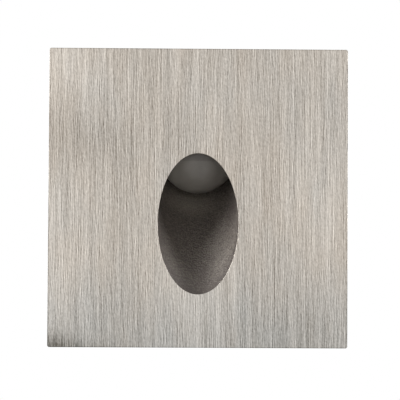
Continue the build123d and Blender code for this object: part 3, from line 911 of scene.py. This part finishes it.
def skin(name: str, grid: np.ndarray, ring: bool = False) -> Object:
    """Make a closed smooth mesh from a grid of points.

    Quad (i, j) joins points (i, j), (i, j + 1), (i + 1, j + 1) and (i + 1, j). Columns run on from the
    last to the first, and so do rows in a ring. Points that meet at a pole are merged, and faces are
    turned outwards.

    Args:
        name: The piece's name.
        grid: Points in millimetres, rows by columns by 3.
        ring: Whether the last row joins the first.

    Returns:
        The piece.
    """
    rows, columns = grid.shape[:2]
    row = np.arange(rows if ring else rows - 1)[:, None]
    column = np.arange(columns)[None, :]
    here, below = row * columns, (row + 1) % rows * columns
    beside = (column + 1) % columns
    quads = np.stack([here + column, here + beside, below + beside, below + column], axis=-1).reshape(-1, 4)
    mesh = bpy.data.meshes.new(name)
    mesh.vertices.add(rows * columns)
    mesh.vertices.foreach_set("co", (grid * METRES).ravel())
    mesh.loops.add(quads.size)
    mesh.loops.foreach_set("vertex_index", quads.ravel())
    mesh.polygons.add(len(quads))
    mesh.polygons.foreach_set("loop_start", np.arange(0, quads.size, 4))
    mesh.update(calc_edges=True)
    shell = bmesh.new()
    shell.from_mesh(mesh)
    bmesh.ops.remove_doubles(shell, verts=shell.verts, dist=MERGE_DISTANCE * METRES)
    bmesh.ops.recalc_face_normals(shell, faces=shell.faces)
    shell.to_mesh(mesh)
    shell.free()
    mesh.polygons.foreach_set("use_smooth", np.ones(len(mesh.polygons), bool))
    piece = bpy.data.objects.new(name, mesh)
    bpy.context.scene.collection.objects.link(piece)
    return piece


@dataclass(frozen=True)
class Spindle:
    """An axis that profiles are turned about: where it starts, where it goes and where a turn begins."""

    start: Point
    along: Point
    across: Point

    def turn(self, profile: np.ndarray, columns: int, flats: float | None = None) -> np.ndarray:
        """Turn a profile.

        P(v, a) = start + h(v) along + r(v, a) (cos a across + sin a third). With flats, r is the smooth
        least of the profile's radius and a hexagon's, (r^-p + hexagon^-p)^(-1/p), which rounds the
        hexagon's corners.

        Args:
            profile: Rows of radius and height.
            columns: Points round the axis.
            flats: The hexagon's size across its flats, if there is one.

        Returns:
            Points, rows by columns by 3.
        """
        angle = np.linspace(0.0, math.tau, columns, endpoint=False)
        radius = np.repeat(profile[:, :1], columns, axis=1)
        if flats is not None:
            hexagon = flats / 2 / np.cos(angle % (math.pi / 3) - math.pi / 6)
            sharpness = 70.0
            radius = radius * (1 + (radius / hexagon) ** sharpness) ** (-1 / sharpness)
        along, across = np.array(self.along), np.array(self.across)
        third = np.cross(along, across)
        round_way = np.cos(angle)[:, None] * across + np.sin(angle)[:, None] * third
        return np.array(self.start) + profile[:, 1, None, None] * along + radius[..., None] * round_way


@dataclass(frozen=True)
class RoundedBox:
    """A rectangle with round corners, as a sliding centre and a direction out from it."""

    half_width: float
    half_height: float
    corner: float
    side_steps: int = 56
    arc_steps: int = 6

    def outline(self, inset: np.ndarray) -> np.ndarray:
        """Draw the rectangle once for each inset.

        The point is centre + (corner - inset) out. Along a side the centre slides and the direction
        stays; at a corner the centre stays and the direction turns by a quarter. The four sides follow
        each other.

        Args:
            inset: How far each drawing lies inside the rectangle.

        Returns:
            Points, insets by columns by 2.
        """
        slide = np.concatenate([np.linspace(-1.0, 1.0, self.side_steps), np.ones(self.arc_steps)])
        bend = np.linspace(0.0, math.pi / 2, self.arc_steps + 2)[1:-1]
        turn = np.concatenate([np.zeros(self.side_steps), bend])
        flat = np.array([self.half_width - self.corner, self.half_height - self.corner])
        quarter = np.array([[0.0, 1.0], [-1.0, 0.0]])
        centre = np.stack([np.ones_like(slide), slide], axis=1)
        out = np.stack([np.cos(turn), np.sin(turn)], axis=1)
        turns = [np.linalg.matrix_power(quarter, k) for k in range(4)]
        centres = np.concatenate([centre @ t for t in turns]) * flat
        outs = np.concatenate([out @ t for t in turns])
        return centres + (self.corner - np.asarray(inset)[:, None, None]) * outs


@dataclass(frozen=True)
class FlatFrame:
    """A flat sheet between a rounded square and an oval hole, with rounded edges all round."""

    square: RoundedBox
    hole: tuple[float, float]
    hole_rise: float
    front: float
    rear: float
    outer_edge: float
    hole_edge: float
    rear_edge: float
    support: float = 0.15
    arc_rows: int = 7
    flat_rows: int = 9
    flat_margin: float = 0.04

    @classmethod
    def over(
        cls, node: str, corner: float, hole: tuple[float, float], hole_rise: float, edges: Point
    ) -> "FlatFrame":
        """Take the square's size and the sheet's depths from a solid's box.

        Args:
            node: The solid.
            corner: The radius of the square's corners.
            hole: The hole's width and height.
            hole_rise: How high the hole's middle is.
            edges: How far the front's outer edge, the hole's front edge and the rear edges are rounded.

        Returns:
            The sheet.
        """
        low, high = reach(node)
        return cls(RoundedBox(high[0], high[0], corner), hole, hole_rise, low[1], high[1], *edges)

    def grid(self) -> np.ndarray:
        """Work out the sheet as a closed ring of rows.

        P = (1 - t) hole(offset) + t square(inset): t runs from the hole to the outline over the front
        and back over the rear, and at each edge the offset or inset and the depth follow a quarter
        circle.

        Returns:
            Points, rows by columns by 3.
        """
        arc = np.linspace(0.0, math.pi / 2, self.arc_rows)
        rise, fall = 1 - np.cos(arc), 1 - np.sin(arc)
        out, back, hole = self.outer_edge, self.rear_edge, self.hole_edge
        full, none = np.ones_like(arc), np.zeros_like(arc)
        sweep = np.linspace(self.flat_margin, 1 - self.flat_margin, self.flat_rows)
        t = np.concatenate([[0], sweep, [1]])
        level = np.ones_like(t)
        rear_flat = (back + self.support) * level
        rows_t = np.concatenate([none, t, full, full, t[::-1], none])
        rows_hole = np.concatenate(
            [hole * rise, (hole + self.support) * level, none, none, rear_flat, (back * rise)[::-1]]
        )
        rows_square = np.concatenate(
            [none, (out + self.support) * level, (out * rise)[::-1], back * rise, rear_flat, none]
        )
        depth = np.concatenate(
            [
                self.front + hole * fall,
                self.front * level,
                (self.front + out * fall)[::-1],
                self.rear - back * fall,
                self.rear * level,
                (self.rear - back * fall)[::-1],
            ]
        )
        square = self.square.outline(rows_square)
        middle = np.array([0.0, self.hole_rise])
        size = np.array(self.hole) / 2
        edge = (self.square.outline(np.zeros(1))[0] - middle) / size
        angle = np.arctan2(edge[:, 1], edge[:, 0])
        oval = np.stack([np.cos(angle), np.sin(angle)], axis=1)
        normal = oval / size
        normal = normal / np.linalg.norm(normal, axis=1, keepdims=True)
        inner = oval * size + middle + rows_hole[:, None, None] * normal
        flat = inner + rows_t[:, None, None] * (square - inner)
        depths = np.broadcast_to(depth[:, None], flat.shape[:2])
        return np.stack([flat[..., 0], depths, flat[..., 1]], axis=-1)


def dress(node: str, finish: Finish) -> Object:
    """Put a finish on a solid that stays in view.

    Args:
        node: The solid's name.
        finish: What its surface looks like.

    Returns:
        The solid's object.
    """
    piece = frame["nodes"][node]
    for place in piece.material_slots:
        place.material = finish.material()
    return piece


def stand_for(piece: Object, node: str, finish: Finish) -> Object:
    """Put a new surface in a solid's place and finish it.

    Args:
        piece: The new surface.
        node: The solid that it is shown instead of.
        finish: What it looks like.

    Returns:
        The piece.
    """
    piece.data.materials.append(finish.material())
    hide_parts(node)
    return piece


def carried(piece: Object, node: str, finish: Finish) -> Object:
    """Put a new surface in a solid's place and let it ride on the body that carries the solid."""
    bodies = frame["record"]["behaviour"]["bodies"]
    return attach(stand_for(piece, node, finish), next(b for b, nodes in bodies.items() if node in nodes))


@dataclass(frozen=True)
class LightChannel:
    """The round channel that slopes up and back from the oval opening, its casting and its lens."""

    mouth_rise: float = -6.5
    slope: float = 35.0
    opening_width: float = 20.3
    bore_clearance: float = 0.15
    dome_radius: float = 10.0
    dome_wall: float = 2.0
    dome_depth: float = 22.2
    flange_width: float = 1.6
    flange_thickness: float = 1.8
    flange_edge: float = 0.2
    arc_rows: int = 40
    columns: int = 128

    def opening_height(self) -> float:
        """The opening is the channel's round section, cut on the slope."""
        return self.opening_width / math.sin(math.radians(self.slope))

    def spindle(self) -> Spindle:
        """Find the channel's axis.

        Returns:
            The axis, from the middle of the channel's mouth.
        """
        slope = math.radians(self.slope)
        mouth = (0.0, reach("housing")[0][1], self.mouth_rise)
        return Spindle(mouth, (0.0, math.sin(slope), math.cos(slope)), (1.0, 0.0, 0.0))

    def casting(self) -> BoredCasting:
        """Make the housing's finish, with its bore where the channel is.

        Returns:
            The finish.
        """
        radius = self.opening_width / 2 + self.bore_clearance
        return BoredCasting(
            "channel_coat",
            "#3a3733",
            "#6b6660",
            0.5,
            grains=2.4,
            depth=0.09,
            edge=0.25,
            bore=Bore(self.spindle().start, self.slope, radius, self.dome_depth + self.flange_width),
            bore_dark="#514a46",
            bore_light="#b1aa9f",
            marks=3.5,
            mark_depth=0.025,
            # Painted highlights and painted shade on the bore's wall
            painted_highlights_and_shade=CHANNEL_PAINTED_LIGHT,
        )

    def lens(self) -> Object:
        """Make the lens: a hollow dome turned from two quarter circles, with a round-edged flange.

        Returns:
            The piece.
        """
        swing = np.linspace(0.0, math.pi / 2, self.arc_rows + 1)[:-1, None]
        arc = np.concatenate([np.sin(swing), -np.cos(swing)], axis=1)
        outer, inner = self.dome_radius, self.dome_radius - self.dome_wall
        middle = np.array([0.0, self.dome_depth])
        front = self.dome_depth + self.flange_width
        rear = front + self.flange_thickness
        flange = [
            (outer, self.dome_depth),
            (outer, front),
            (outer + self.flange_width, front),
            (outer + self.flange_width, rear),
            (inner, rear),
            (inner, self.dome_depth),
        ]
        rim = soften(flange, self.flange_edge)
        profile = np.concatenate([middle + outer * arc, rim, (middle + inner * arc)[::-1]])
        return skin("lens_shell", self.spindle().turn(profile, self.columns))

    def build(self) -> list[Object]:
        """Make the lens and dress the housing."""
        return [carried(self.lens(), "lens_dome", LENS_FROST), dress("housing", self.casting())]


@dataclass(frozen=True)
class FacePlate:
    """The brushed square plate, its oval opening and what holds it: studs, washers and nuts."""

    corner: float = 0.5
    edges: Point = (0.05, 0.05, 0.1)

    def build(self) -> list[Object]:
        """Make the plate from the solid's box and the channel's opening, and dress its fixings.

        Returns:
            The plate and its fixings.
        """
        channel = LightChannel()
        opening = (channel.opening_width, channel.opening_height())
        plate = FlatFrame.over("faceplate", self.corner, opening, channel.mouth_rise, self.edges)
        piece = carried(skin("face_plate", plate.grid(), ring=True), "faceplate", FACE_STEEL)
        fixings = [dress(node, ZINC) for node in ("faceplate_studs", "stud_washers", "stud_nuts")]
        return [piece, *fixings]


@dataclass(frozen=True)
class WallSeal:
    """The foam square that is squeezed between the plate and the wall, round the hole in the wall."""

    corner: float = 2.0
    bore: float = 60.0
    edges: Point = (0.45, 0.45, 0.45)
    fill: float = 1.0

    def build(self) -> list[Object]:
        """Make the foam square from the solid's box.

        Returns:
            The foam square.
        """
        sheet = FlatFrame.over("wall_gasket", self.corner, (self.bore, self.bore), 0.0, self.edges)
        foam = carried(skin("foam_square", sheet.grid(), ring=True), "wall_gasket", GASKET_FOAM)
        return [foam]


class DressedSolids:
    """A sub-assembly whose solids keep their shapes, each with a finish."""

    finishes: ClassVar[dict[str, Finish]]

    def build(self) -> list[Object]:
        """Dress each solid."""
        return [dress(node, finish) for node, finish in self.finishes.items()]


class LampHead(DressedSolids):
    """The LED on its board, the plate that clamps it behind the lens, and its leads."""

    finishes = {
        "lens_seal": SEAL_RUBBER,
        "led_carrier": ALUMINIUM,
        "carrier_screws": ZINC,
        "thermal_pad": PAD_SILICONE,
        "led_board": WHITE_MASK,
        "led_base": CERAMIC,
        "led_lens": LED_SILICONE,
        "led_lead_positive": RED_SHEATH,
        "led_lead_negative": BLACK_SHEATH,
    }


class Driver(DressedSolids):
    """The driver board with its parts and the terminal block."""

    finishes = {
        "driver_board": GREEN_MASK,
        "driver_board_screws": ZINC,
        "driver_inductor": FERRITE,
        "driver_capacitor": CAN_SLEEVE,
        "driver_chip": CHIP_EPOXY,
        "driver_resistors": CHIP_EPOXY,
        "terminal_block": BLOCK_PLASTIC,
        "terminal_screws": ZINC,
    }


class RearCover(DressedSolids):
    """The cover that closes the housing, its gasket and its screws."""

    finishes = {"rear_cover": COVER_PLASTIC, "cover_gasket": SEAL_RUBBER, "cover_screws": ZINC}


@dataclass(frozen=True)
class CableGland:
    """The cable's sealed entry: a hexagon body, a dome nut, a washer, a seal and a lock nut.

    A chamfer, a flare and a bend are each given by how far they reach across and along the axis.
    """

    rise: float = 8.0
    flats: float = 15.0
    thread_radius: float = 6.0
    bore: float = 3.6
    seat_radius: float = 4.75
    seat_front: float = 56.2
    nut_bore: float = 6.03
    nut_step: float = 63.2
    nut_mouth: float = 3.9
    mouth_flare: tuple[float, float] = (0.3, 0.6)
    dome_start: float = 5.5
    dome_bend: tuple[float, float] = (0.625, 2.25)
    dome_inset: float = 2.5
    skirt_chamfer: float = 0.7
    nut_edge: float = 0.35
    flange_gap: float = 0.3
    flange_chamfer: tuple[float, float] = (0.5, 0.4)
    body_edge: float = 0.2
    washer_fit: float = 0.1
    washer_edge: float = 0.45
    seam_offset: float = 1.0
    columns: int = 144

    def spindle(self) -> Spindle:
        """The gland's axis, which goes straight back from the wall's surface."""
        return Spindle((0.0, 0.0, self.rise), (0.0, 1.0, 0.0), (1.0, 0.0, 0.0))

    def ring(
        self, name: str, corners: list[tuple[float, float]], edge: float, flats: float | None = None
    ) -> Object:
        """Turn a closed profile, which starts and ends at one point on a flat.

        Args:
            name: The piece's name.
            corners: The profile's radii and depths.
            edge: How far its corners are rounded.
            flats: The hexagon's size across its flats, if there is one.

        Returns:
            The piece.
        """
        profile = soften(corners, edge)[:-1]
        return skin(name, self.spindle().turn(profile, self.columns, flats), ring=True)

    def nut(self) -> Object:
        """Make the dome nut: a hexagon with a chamfered skirt, a round dome and a mouth for the cable.

        Returns:
            The piece.
        """
        front, rear = (corner[1] for corner in reach("gland_nut"))
        corner = self.flats / math.sqrt(3)
        seam = (corner, (front + rear) / 2 - self.seam_offset)
        corners = [
            seam,
            (corner, rear - self.dome_start),
            (corner - self.dome_bend[0], rear - self.dome_bend[1]),
            (corner - self.dome_inset, rear),
            (self.nut_mouth + self.mouth_flare[0], rear),
            (self.nut_mouth, rear - self.mouth_flare[1]),
            (self.nut_mouth, self.nut_step),
            (self.nut_bore, self.nut_step),
            (self.nut_bore, front),
            (self.flats / 2, front),
            (corner, front + self.skirt_chamfer),
            seam,
        ]
        return self.ring("gland_dome_nut", corners, self.nut_edge, self.flats)

    def body(self) -> Object:
        """Make the body: a bored tube with a hexagon flange between the washer and the nut.

        Returns:
            The piece.
        """
        front, rear = (corner[1] for corner in reach("gland_body"))
        flange_front = reach("gland_washer")[1][1]
        flange_rear = reach("gland_nut")[0][1] - self.flange_gap
        corner = self.flats / math.sqrt(3)
        across, along = self.flange_chamfer
        seam = (self.thread_radius, (front + flange_front) / 2)
        corners = [
            seam,
            (self.thread_radius, flange_front),
            (corner - across, flange_front),
            (corner, flange_front + along),
            (corner, flange_rear - along),
            (corner - across, flange_rear),
            (self.thread_radius, flange_rear),
            (self.thread_radius, rear),
            (self.seat_radius, rear),
            (self.seat_radius, self.seat_front),
            (self.bore, self.seat_front),
            (self.bore, front),
            (self.thread_radius, front),
            seam,
        ]
        return self.ring("gland_hex_body", corners, self.body_edge, self.flats)

    def washer(self) -> Object:
        """Make the rubber washer, which bulges a little where it is squeezed.

        Returns:
            The piece.
        """
        low, high = reach("gland_washer")
        front, rear, outer = low[1], high[1], high[0]
        inner = self.thread_radius + self.washer_fit
        seam = ((inner + outer) / 2, front)
        corners = [seam, (outer, front), (outer, rear), (inner, rear), (inner, front), seam]
        return self.ring("gland_ring", corners, self.washer_edge)

    def build(self) -> list[Object]:
        """Make the nut, the body and the washer, and dress the seal and the lock nut.

        Returns:
            The gland's pieces.
        """
        return [
            carried(self.nut(), "gland_nut", GLAND_NYLON),
            carried(self.body(), "gland_body", GLAND_NYLON),
            carried(self.washer(), "gland_washer", SEAL_RUBBER),
            dress("gland_seal", SEAL_RUBBER),
            dress("gland_locknut", GLAND_NYLON),
        ]


class Side(Enum):
    """The two clips. The left one is the right one, turned half round the Y axis."""

    LEFT = -1.0
    RIGHT = 1.0

    def placed(self, points: np.ndarray) -> np.ndarray:
        """Turn points from the right clip's place to this side's: on the left, X and Z change sign."""
        return points * np.array([self.value, 1.0, self.value])


@dataclass(frozen=True)
class SpringClip:
    """One sprung arm: its pin, its wound spring, the arm and the rubber cap that presses on the wall."""

    side: Side
    pivot: tuple[float, float] = (24.77, 34.0)
    coil_radius: float = 2.025
    wire: float = 0.65
    pitch: float = 1.1
    turns: int = 8
    lean: float = 8.5
    leg: float = 9.0
    coil_half: float = 4.3
    turn_steps: int = 28
    leg_steps: int = 9
    wire_sides: int = 14
    arm_bend: tuple[float, float] = (21.3, 20.0)
    arm_end: tuple[float, float] = (33.5, 9.0)
    arm_thickness: float = 1.0
    arm_half_width: float = 5.0
    cap_wall: float = 1.0
    cap_length: float = 8.0
    cap_fit: float = 0.02
    cap_corner: float = 0.9
    cap_lip: float = 0.3
    cap_blunt: float = 0.8
    pocket_corner: float = 0.2
    grip_start: float = 1.0
    grip_end: float = 1.4
    groove: float = 0.3
    groove_count: int = 4
    groove_rows: int = 16
    side_steps: int = 20
    arc_steps: int = 6

    def named(self, piece: str) -> str:
        """A piece's name with its side before it."""
        return f"{self.side.name.lower()}_{piece}"

    def spring(self) -> Object:
        """Make the spring: a round wire along a leg, a helix up the pin and another leg.

        The helix is pivot + R (cos a, sin a) with a rise of one pitch a turn, and the legs carry on
        along its ends' tangents. The wire's section lies across the line: r (cos b side + sin b up),
        with up nearest to the pin.

        Returns:
            The piece.
        """
        start, end = math.pi + math.radians(self.lean), math.pi + math.tau * self.turns
        angle = np.linspace(start, end, self.turn_steps * self.turns + 1)
        climb = self.pitch / math.tau
        cos, sin = np.cos(angle), np.sin(angle)
        rise = climb * (angle - (start + end) / 2)
        round_pin = self.coil_radius * np.stack([cos, sin], axis=1) + np.array(self.pivot)
        coil = np.column_stack([round_pin, rise])
        way = np.stack([-self.coil_radius * sin, self.coil_radius * cos, np.full_like(angle, climb)], axis=1)
        way = way / np.linalg.norm(way, axis=1, keepdims=True)
        legs = np.linspace(0.0, self.leg, self.leg_steps + 1)[1:, None]
        line = np.concatenate([(coil[0] - way[0] * legs)[::-1], coil, coil[-1] + way[-1] * legs])
        first, last = (np.repeat(end_way[None], self.leg_steps, axis=0) for end_way in (way[0], way[-1]))
        ways = np.concatenate([first, way, last])
        pin = np.array([0.0, 0.0, 1.0])
        up = pin - (ways @ pin)[:, None] * ways
        up = up / np.linalg.norm(up, axis=1, keepdims=True)
        across = np.cross(ways, up)
        section = np.linspace(0.0, math.tau, self.wire_sides, endpoint=False)[:, None]
        ring = np.cos(section) * across[:, None] + np.sin(section) * up[:, None]
        tube = line[:, None] + self.wire / 2 * ring
        return skin(self.named("spring_wire"), self.side.placed(poled(tube)))

    def cap(self) -> Object:
        """Make the rubber cap: rounded boxes carried along the arm's end, with a pocket and grip grooves.

        From the pocket's floor the rows go out along its wall, round the lip, back over the outside,
        where the inset is a raised cosine for each groove, and round the blunt end.

        Returns:
            The piece.
        """
        bend, end = np.array(self.arm_bend), np.array(self.arm_end)
        way = (end - bend) / np.linalg.norm(end - bend)
        side = np.array([-way[1], way[0]])
        base = end + side * self.arm_thickness / 2 - way * self.cap_length
        half = np.array([self.arm_half_width, self.arm_thickness / 2])
        steps = (self.side_steps, self.arc_steps)
        outer = RoundedBox(*(half + self.cap_wall), self.cap_corner, *steps)
        pocket = RoundedBox(*(half + self.cap_fit), self.pocket_corner, *steps)
        arc = np.linspace(0.0, math.pi / 2, self.arc_steps)
        inward, short = 1 - np.cos(arc), 1 - np.sin(arc)
        length = self.cap_length + self.cap_wall
        run = np.linspace(0.0, 1.0, self.groove_rows * self.groove_count + 1)
        grooved = self.groove * (1 - np.cos(math.tau * self.groove_count * run)) / 2
        grips = self.grip_start + (length - self.grip_start - self.grip_end) * run
        inset = np.concatenate(
            [self.cap_lip * inward[::-1], grooved, self.cap_blunt * inward, [self.cap_corner]]
        )
        height = np.concatenate(
            [self.cap_lip * short[::-1], grips, length - self.cap_blunt * short, [length]]
        )
        rows = np.concatenate([pocket.outline(np.zeros(2)), outer.outline(inset)])
        heights = np.concatenate([[self.cap_length, 0.0], height])[:, None, None]
        flat = base + heights * way + rows[..., 1:] * side
        grid = np.concatenate([flat, rows[..., :1]], axis=-1)
        return skin(self.named("tip_cap"), self.side.placed(poled(grid)))

    def build(self) -> list[Object]:
        """Make the spring and the cap, and dress the rest.

        Returns:
            The clip's pieces.
        """
        spring = stand_for(self.spring(), self.named("clip_spring"), DRAWN_STEEL)
        ends = np.array([[*self.pivot, -self.coil_half], [*self.pivot, self.coil_half]])
        fixed, moving = (self.side.placed(ends) * METRES).tolist()
        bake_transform(spring)
        cap = carried(self.cap(), self.named("arm_tip"), SEAL_RUBBER)
        finishes = {"clip_pin": ZINC, "pin_ring": DRAWN_STEEL, "clip_arm": ARM_STEEL}
        return [spring, cap, *(dress(self.named(node), finish) for node, finish in finishes.items())]


@dataclass(frozen=True)
class Lamp:
    """A square soft lamp that points at the light's middle."""

    name: str
    place: Point
    side: float
    watts: float

    def build(self) -> Object:
        """Hang the lamp, unseen by the camera.

        Returns:
            The lamp.
        """
        data = bpy.data.lights.new(self.name, "AREA")
        data.size = self.side * METRES
        data.energy = self.watts
        lamp = bpy.data.objects.new(self.name, data)
        bpy.context.scene.collection.objects.link(lamp)
        turn_to(lamp, np.array(self.place), np.zeros(3), 0.0)
        lamp.visible_camera = False
        return lamp


def turn_to(item: Object, place: np.ndarray, aim: np.ndarray, roll: float) -> None:
    """Put a camera or lamp somewhere and point it.

    Its axes are right, up and back: back goes from the aim to the place, right is level, and both right
    and up are then rolled about back.

    Args:
        item: The camera or lamp.
        place: Where it stands.
        aim: What it points at.
        roll: How far it is rolled, anticlockwise as it looks.
    """
    back = (place - aim) / np.linalg.norm(place - aim)
    level = np.cross([0.0, 0.0, 1.0], back)
    level = level / np.linalg.norm(level)
    upright = np.cross(back, level)
    cos, sin = math.cos(math.radians(roll)), math.sin(math.radians(roll))
    matrix = np.eye(4)
    matrix[:3, 0] = level * cos + upright * sin
    matrix[:3, 1] = upright * cos - level * sin
    matrix[:3, 2] = back
    matrix[:3, 3] = place * METRES
    item.matrix_world = matrix.T


@dataclass(frozen=True)
class Studio:
    """A pale floor, soft lamps, white surroundings and the camera."""

    floor_level: float = -120.0
    floor_half: float = 3000.0
    floor_colour: str = "#e6e4e0"
    floor_roughness: float = 0.9
    shadow_reach: tuple[float, float] = (120.0, 420.0)
    floor_glow: float = 0.5
    ambient: float = 0.1
    aim: Point = (0.45, -3.5, -0.55)
    distance: float = 400.0
    pitch: float = -1.95
    yaw: float = -0.79
    roll: float = 0.32
    lens: float = 143.63
    nearest: float = 10.0
    lamps: tuple[Lamp, ...] = (
        Lamp("key_lamp", (-880.0, -520.0, 240.0), 520.0, 13.2),
        Lamp("fill_lamp", (985.0, -260.0, 260.0), 460.0, 12.4),
        Lamp("back_lamp", (420.0, 900.0, 800.0), 700.0, 7.0),
    )

    def seen(self, graph: Graph) -> Value:
        """Tell rays that see the surroundings from rays that light the object.

        Args:
            graph: The node tree that needs to know.

        Returns:
            1 for rays from the camera, reflections and glass, and 0 for light on the object.
        """
        path = graph.node("ShaderNodeLightPath")
        kinds = ("Camera", "Glossy", "Transmission")
        camera, glossy, glass = (Value(graph, path.outputs[f"Is {kind} Ray"]) for kind in kinds)
        return camera.most(glossy).most(glass)

    def surroundings(self) -> None:
        """White where the surroundings are seen, and a plain level of light on the object."""
        world = bpy.data.worlds.new("surroundings")
        world.use_nodes = True
        bpy.context.scene.world = world
        graph = Graph(world.node_tree)
        light = graph.node("ShaderNodeBackground", None, {"Strength": self.ambient, "Color": WHITE})
        white = graph.node("ShaderNodeBackground", None, {"Strength": 1.0, "Color": WHITE})
        inputs = {0: self.seen(graph), 1: light.outputs[0], 2: white.outputs[0]}
        mixed = graph.node("ShaderNodeMixShader", None, inputs)
        graph.node("ShaderNodeOutputWorld", None, {"Surface": mixed.outputs[0]})

    def floor(self) -> Object:
        """Lay the floor: pale round the object, where its shadow falls, and white further off.

        Returns:
            The floor.
        """
        half = self.floor_half
        corners = np.array([[-half, -half], [half, -half], [half, half], [-half, half]])
        points = np.column_stack([corners, np.full(4, self.floor_level)]) * METRES
        mesh = bpy.data.meshes.new("floor")
        mesh.from_pydata(points.tolist(), [], [(0, 1, 2, 3)])
        floor = bpy.data.objects.new("floor", mesh)
        bpy.context.scene.collection.objects.link(floor)
        surface = Surface("pale_floor")
        x, y, _ = surface.axes()
        far = surface.math("SQRT", x * x + y * y).rise(*self.shadow_reach)
        white = surface.node("ShaderNodeEmission", None, {"Color": WHITE, "Strength": 1.0})
        surface.set(Base_Color=linear(self.floor_colour), Roughness=self.floor_roughness)
        glow = self.seen(surface) * (self.floor_glow + (1 - self.floor_glow) * far)
        inputs = {0: glow, 1: surface.shader.outputs[0], 2: white.outputs[0]}
        mixed = surface.node("ShaderNodeMixShader", None, inputs)
        surface.feed(surface.output.inputs["Surface"], mixed.outputs[0])
        mesh.materials.append(surface.material)
        return floor

    def camera(self) -> Object:
        """Stand the camera at the photograph's viewing angle: a little below the middle, almost square on.

        Returns:
            The camera.
        """
        data = bpy.data.cameras.new("camera")
        data.lens = self.lens
        data.clip_start = self.nearest * METRES
        camera = bpy.data.objects.new("camera", data)
        bpy.context.scene.collection.objects.link(camera)
        pitch, yaw = math.radians(self.pitch), math.radians(self.yaw)
        back = np.array([math.sin(yaw) * math.cos(pitch), -math.cos(yaw) * math.cos(pitch), math.sin(pitch)])
        aim = np.array(self.aim)
        turn_to(camera, aim + back * self.distance, aim, self.roll)
        bpy.context.scene.camera = camera
        return camera

    def build(self) -> list[Object]:
        """Set up the surroundings, the floor, the lamps and the camera.

        Returns:
            The floor, the lamps and the camera.
        """
        bpy.context.scene.view_settings.view_transform = "Standard"
        self.surroundings()
        return [self.floor(), *(lamp.build() for lamp in self.lamps), self.camera()]


def main() -> None:
    """Build the sub-assemblies in order, report each piece and set up the studio."""
    logging.basicConfig(level=logging.INFO, format="%(name)s: %(message)s")
    parts = [
        FacePlate(),
        WallSeal(),
        LightChannel(),
        LampHead(),
        Driver(),
        RearCover(),
        CableGland(),
        SpringClip(Side.LEFT),
        SpringClip(Side.RIGHT),
        Studio(),
    ]
    for part in parts:
        for piece in part.build():
            LOG.info("%s: %s", type(part).__name__, piece.name)


if __name__ == "__main__":
    main()
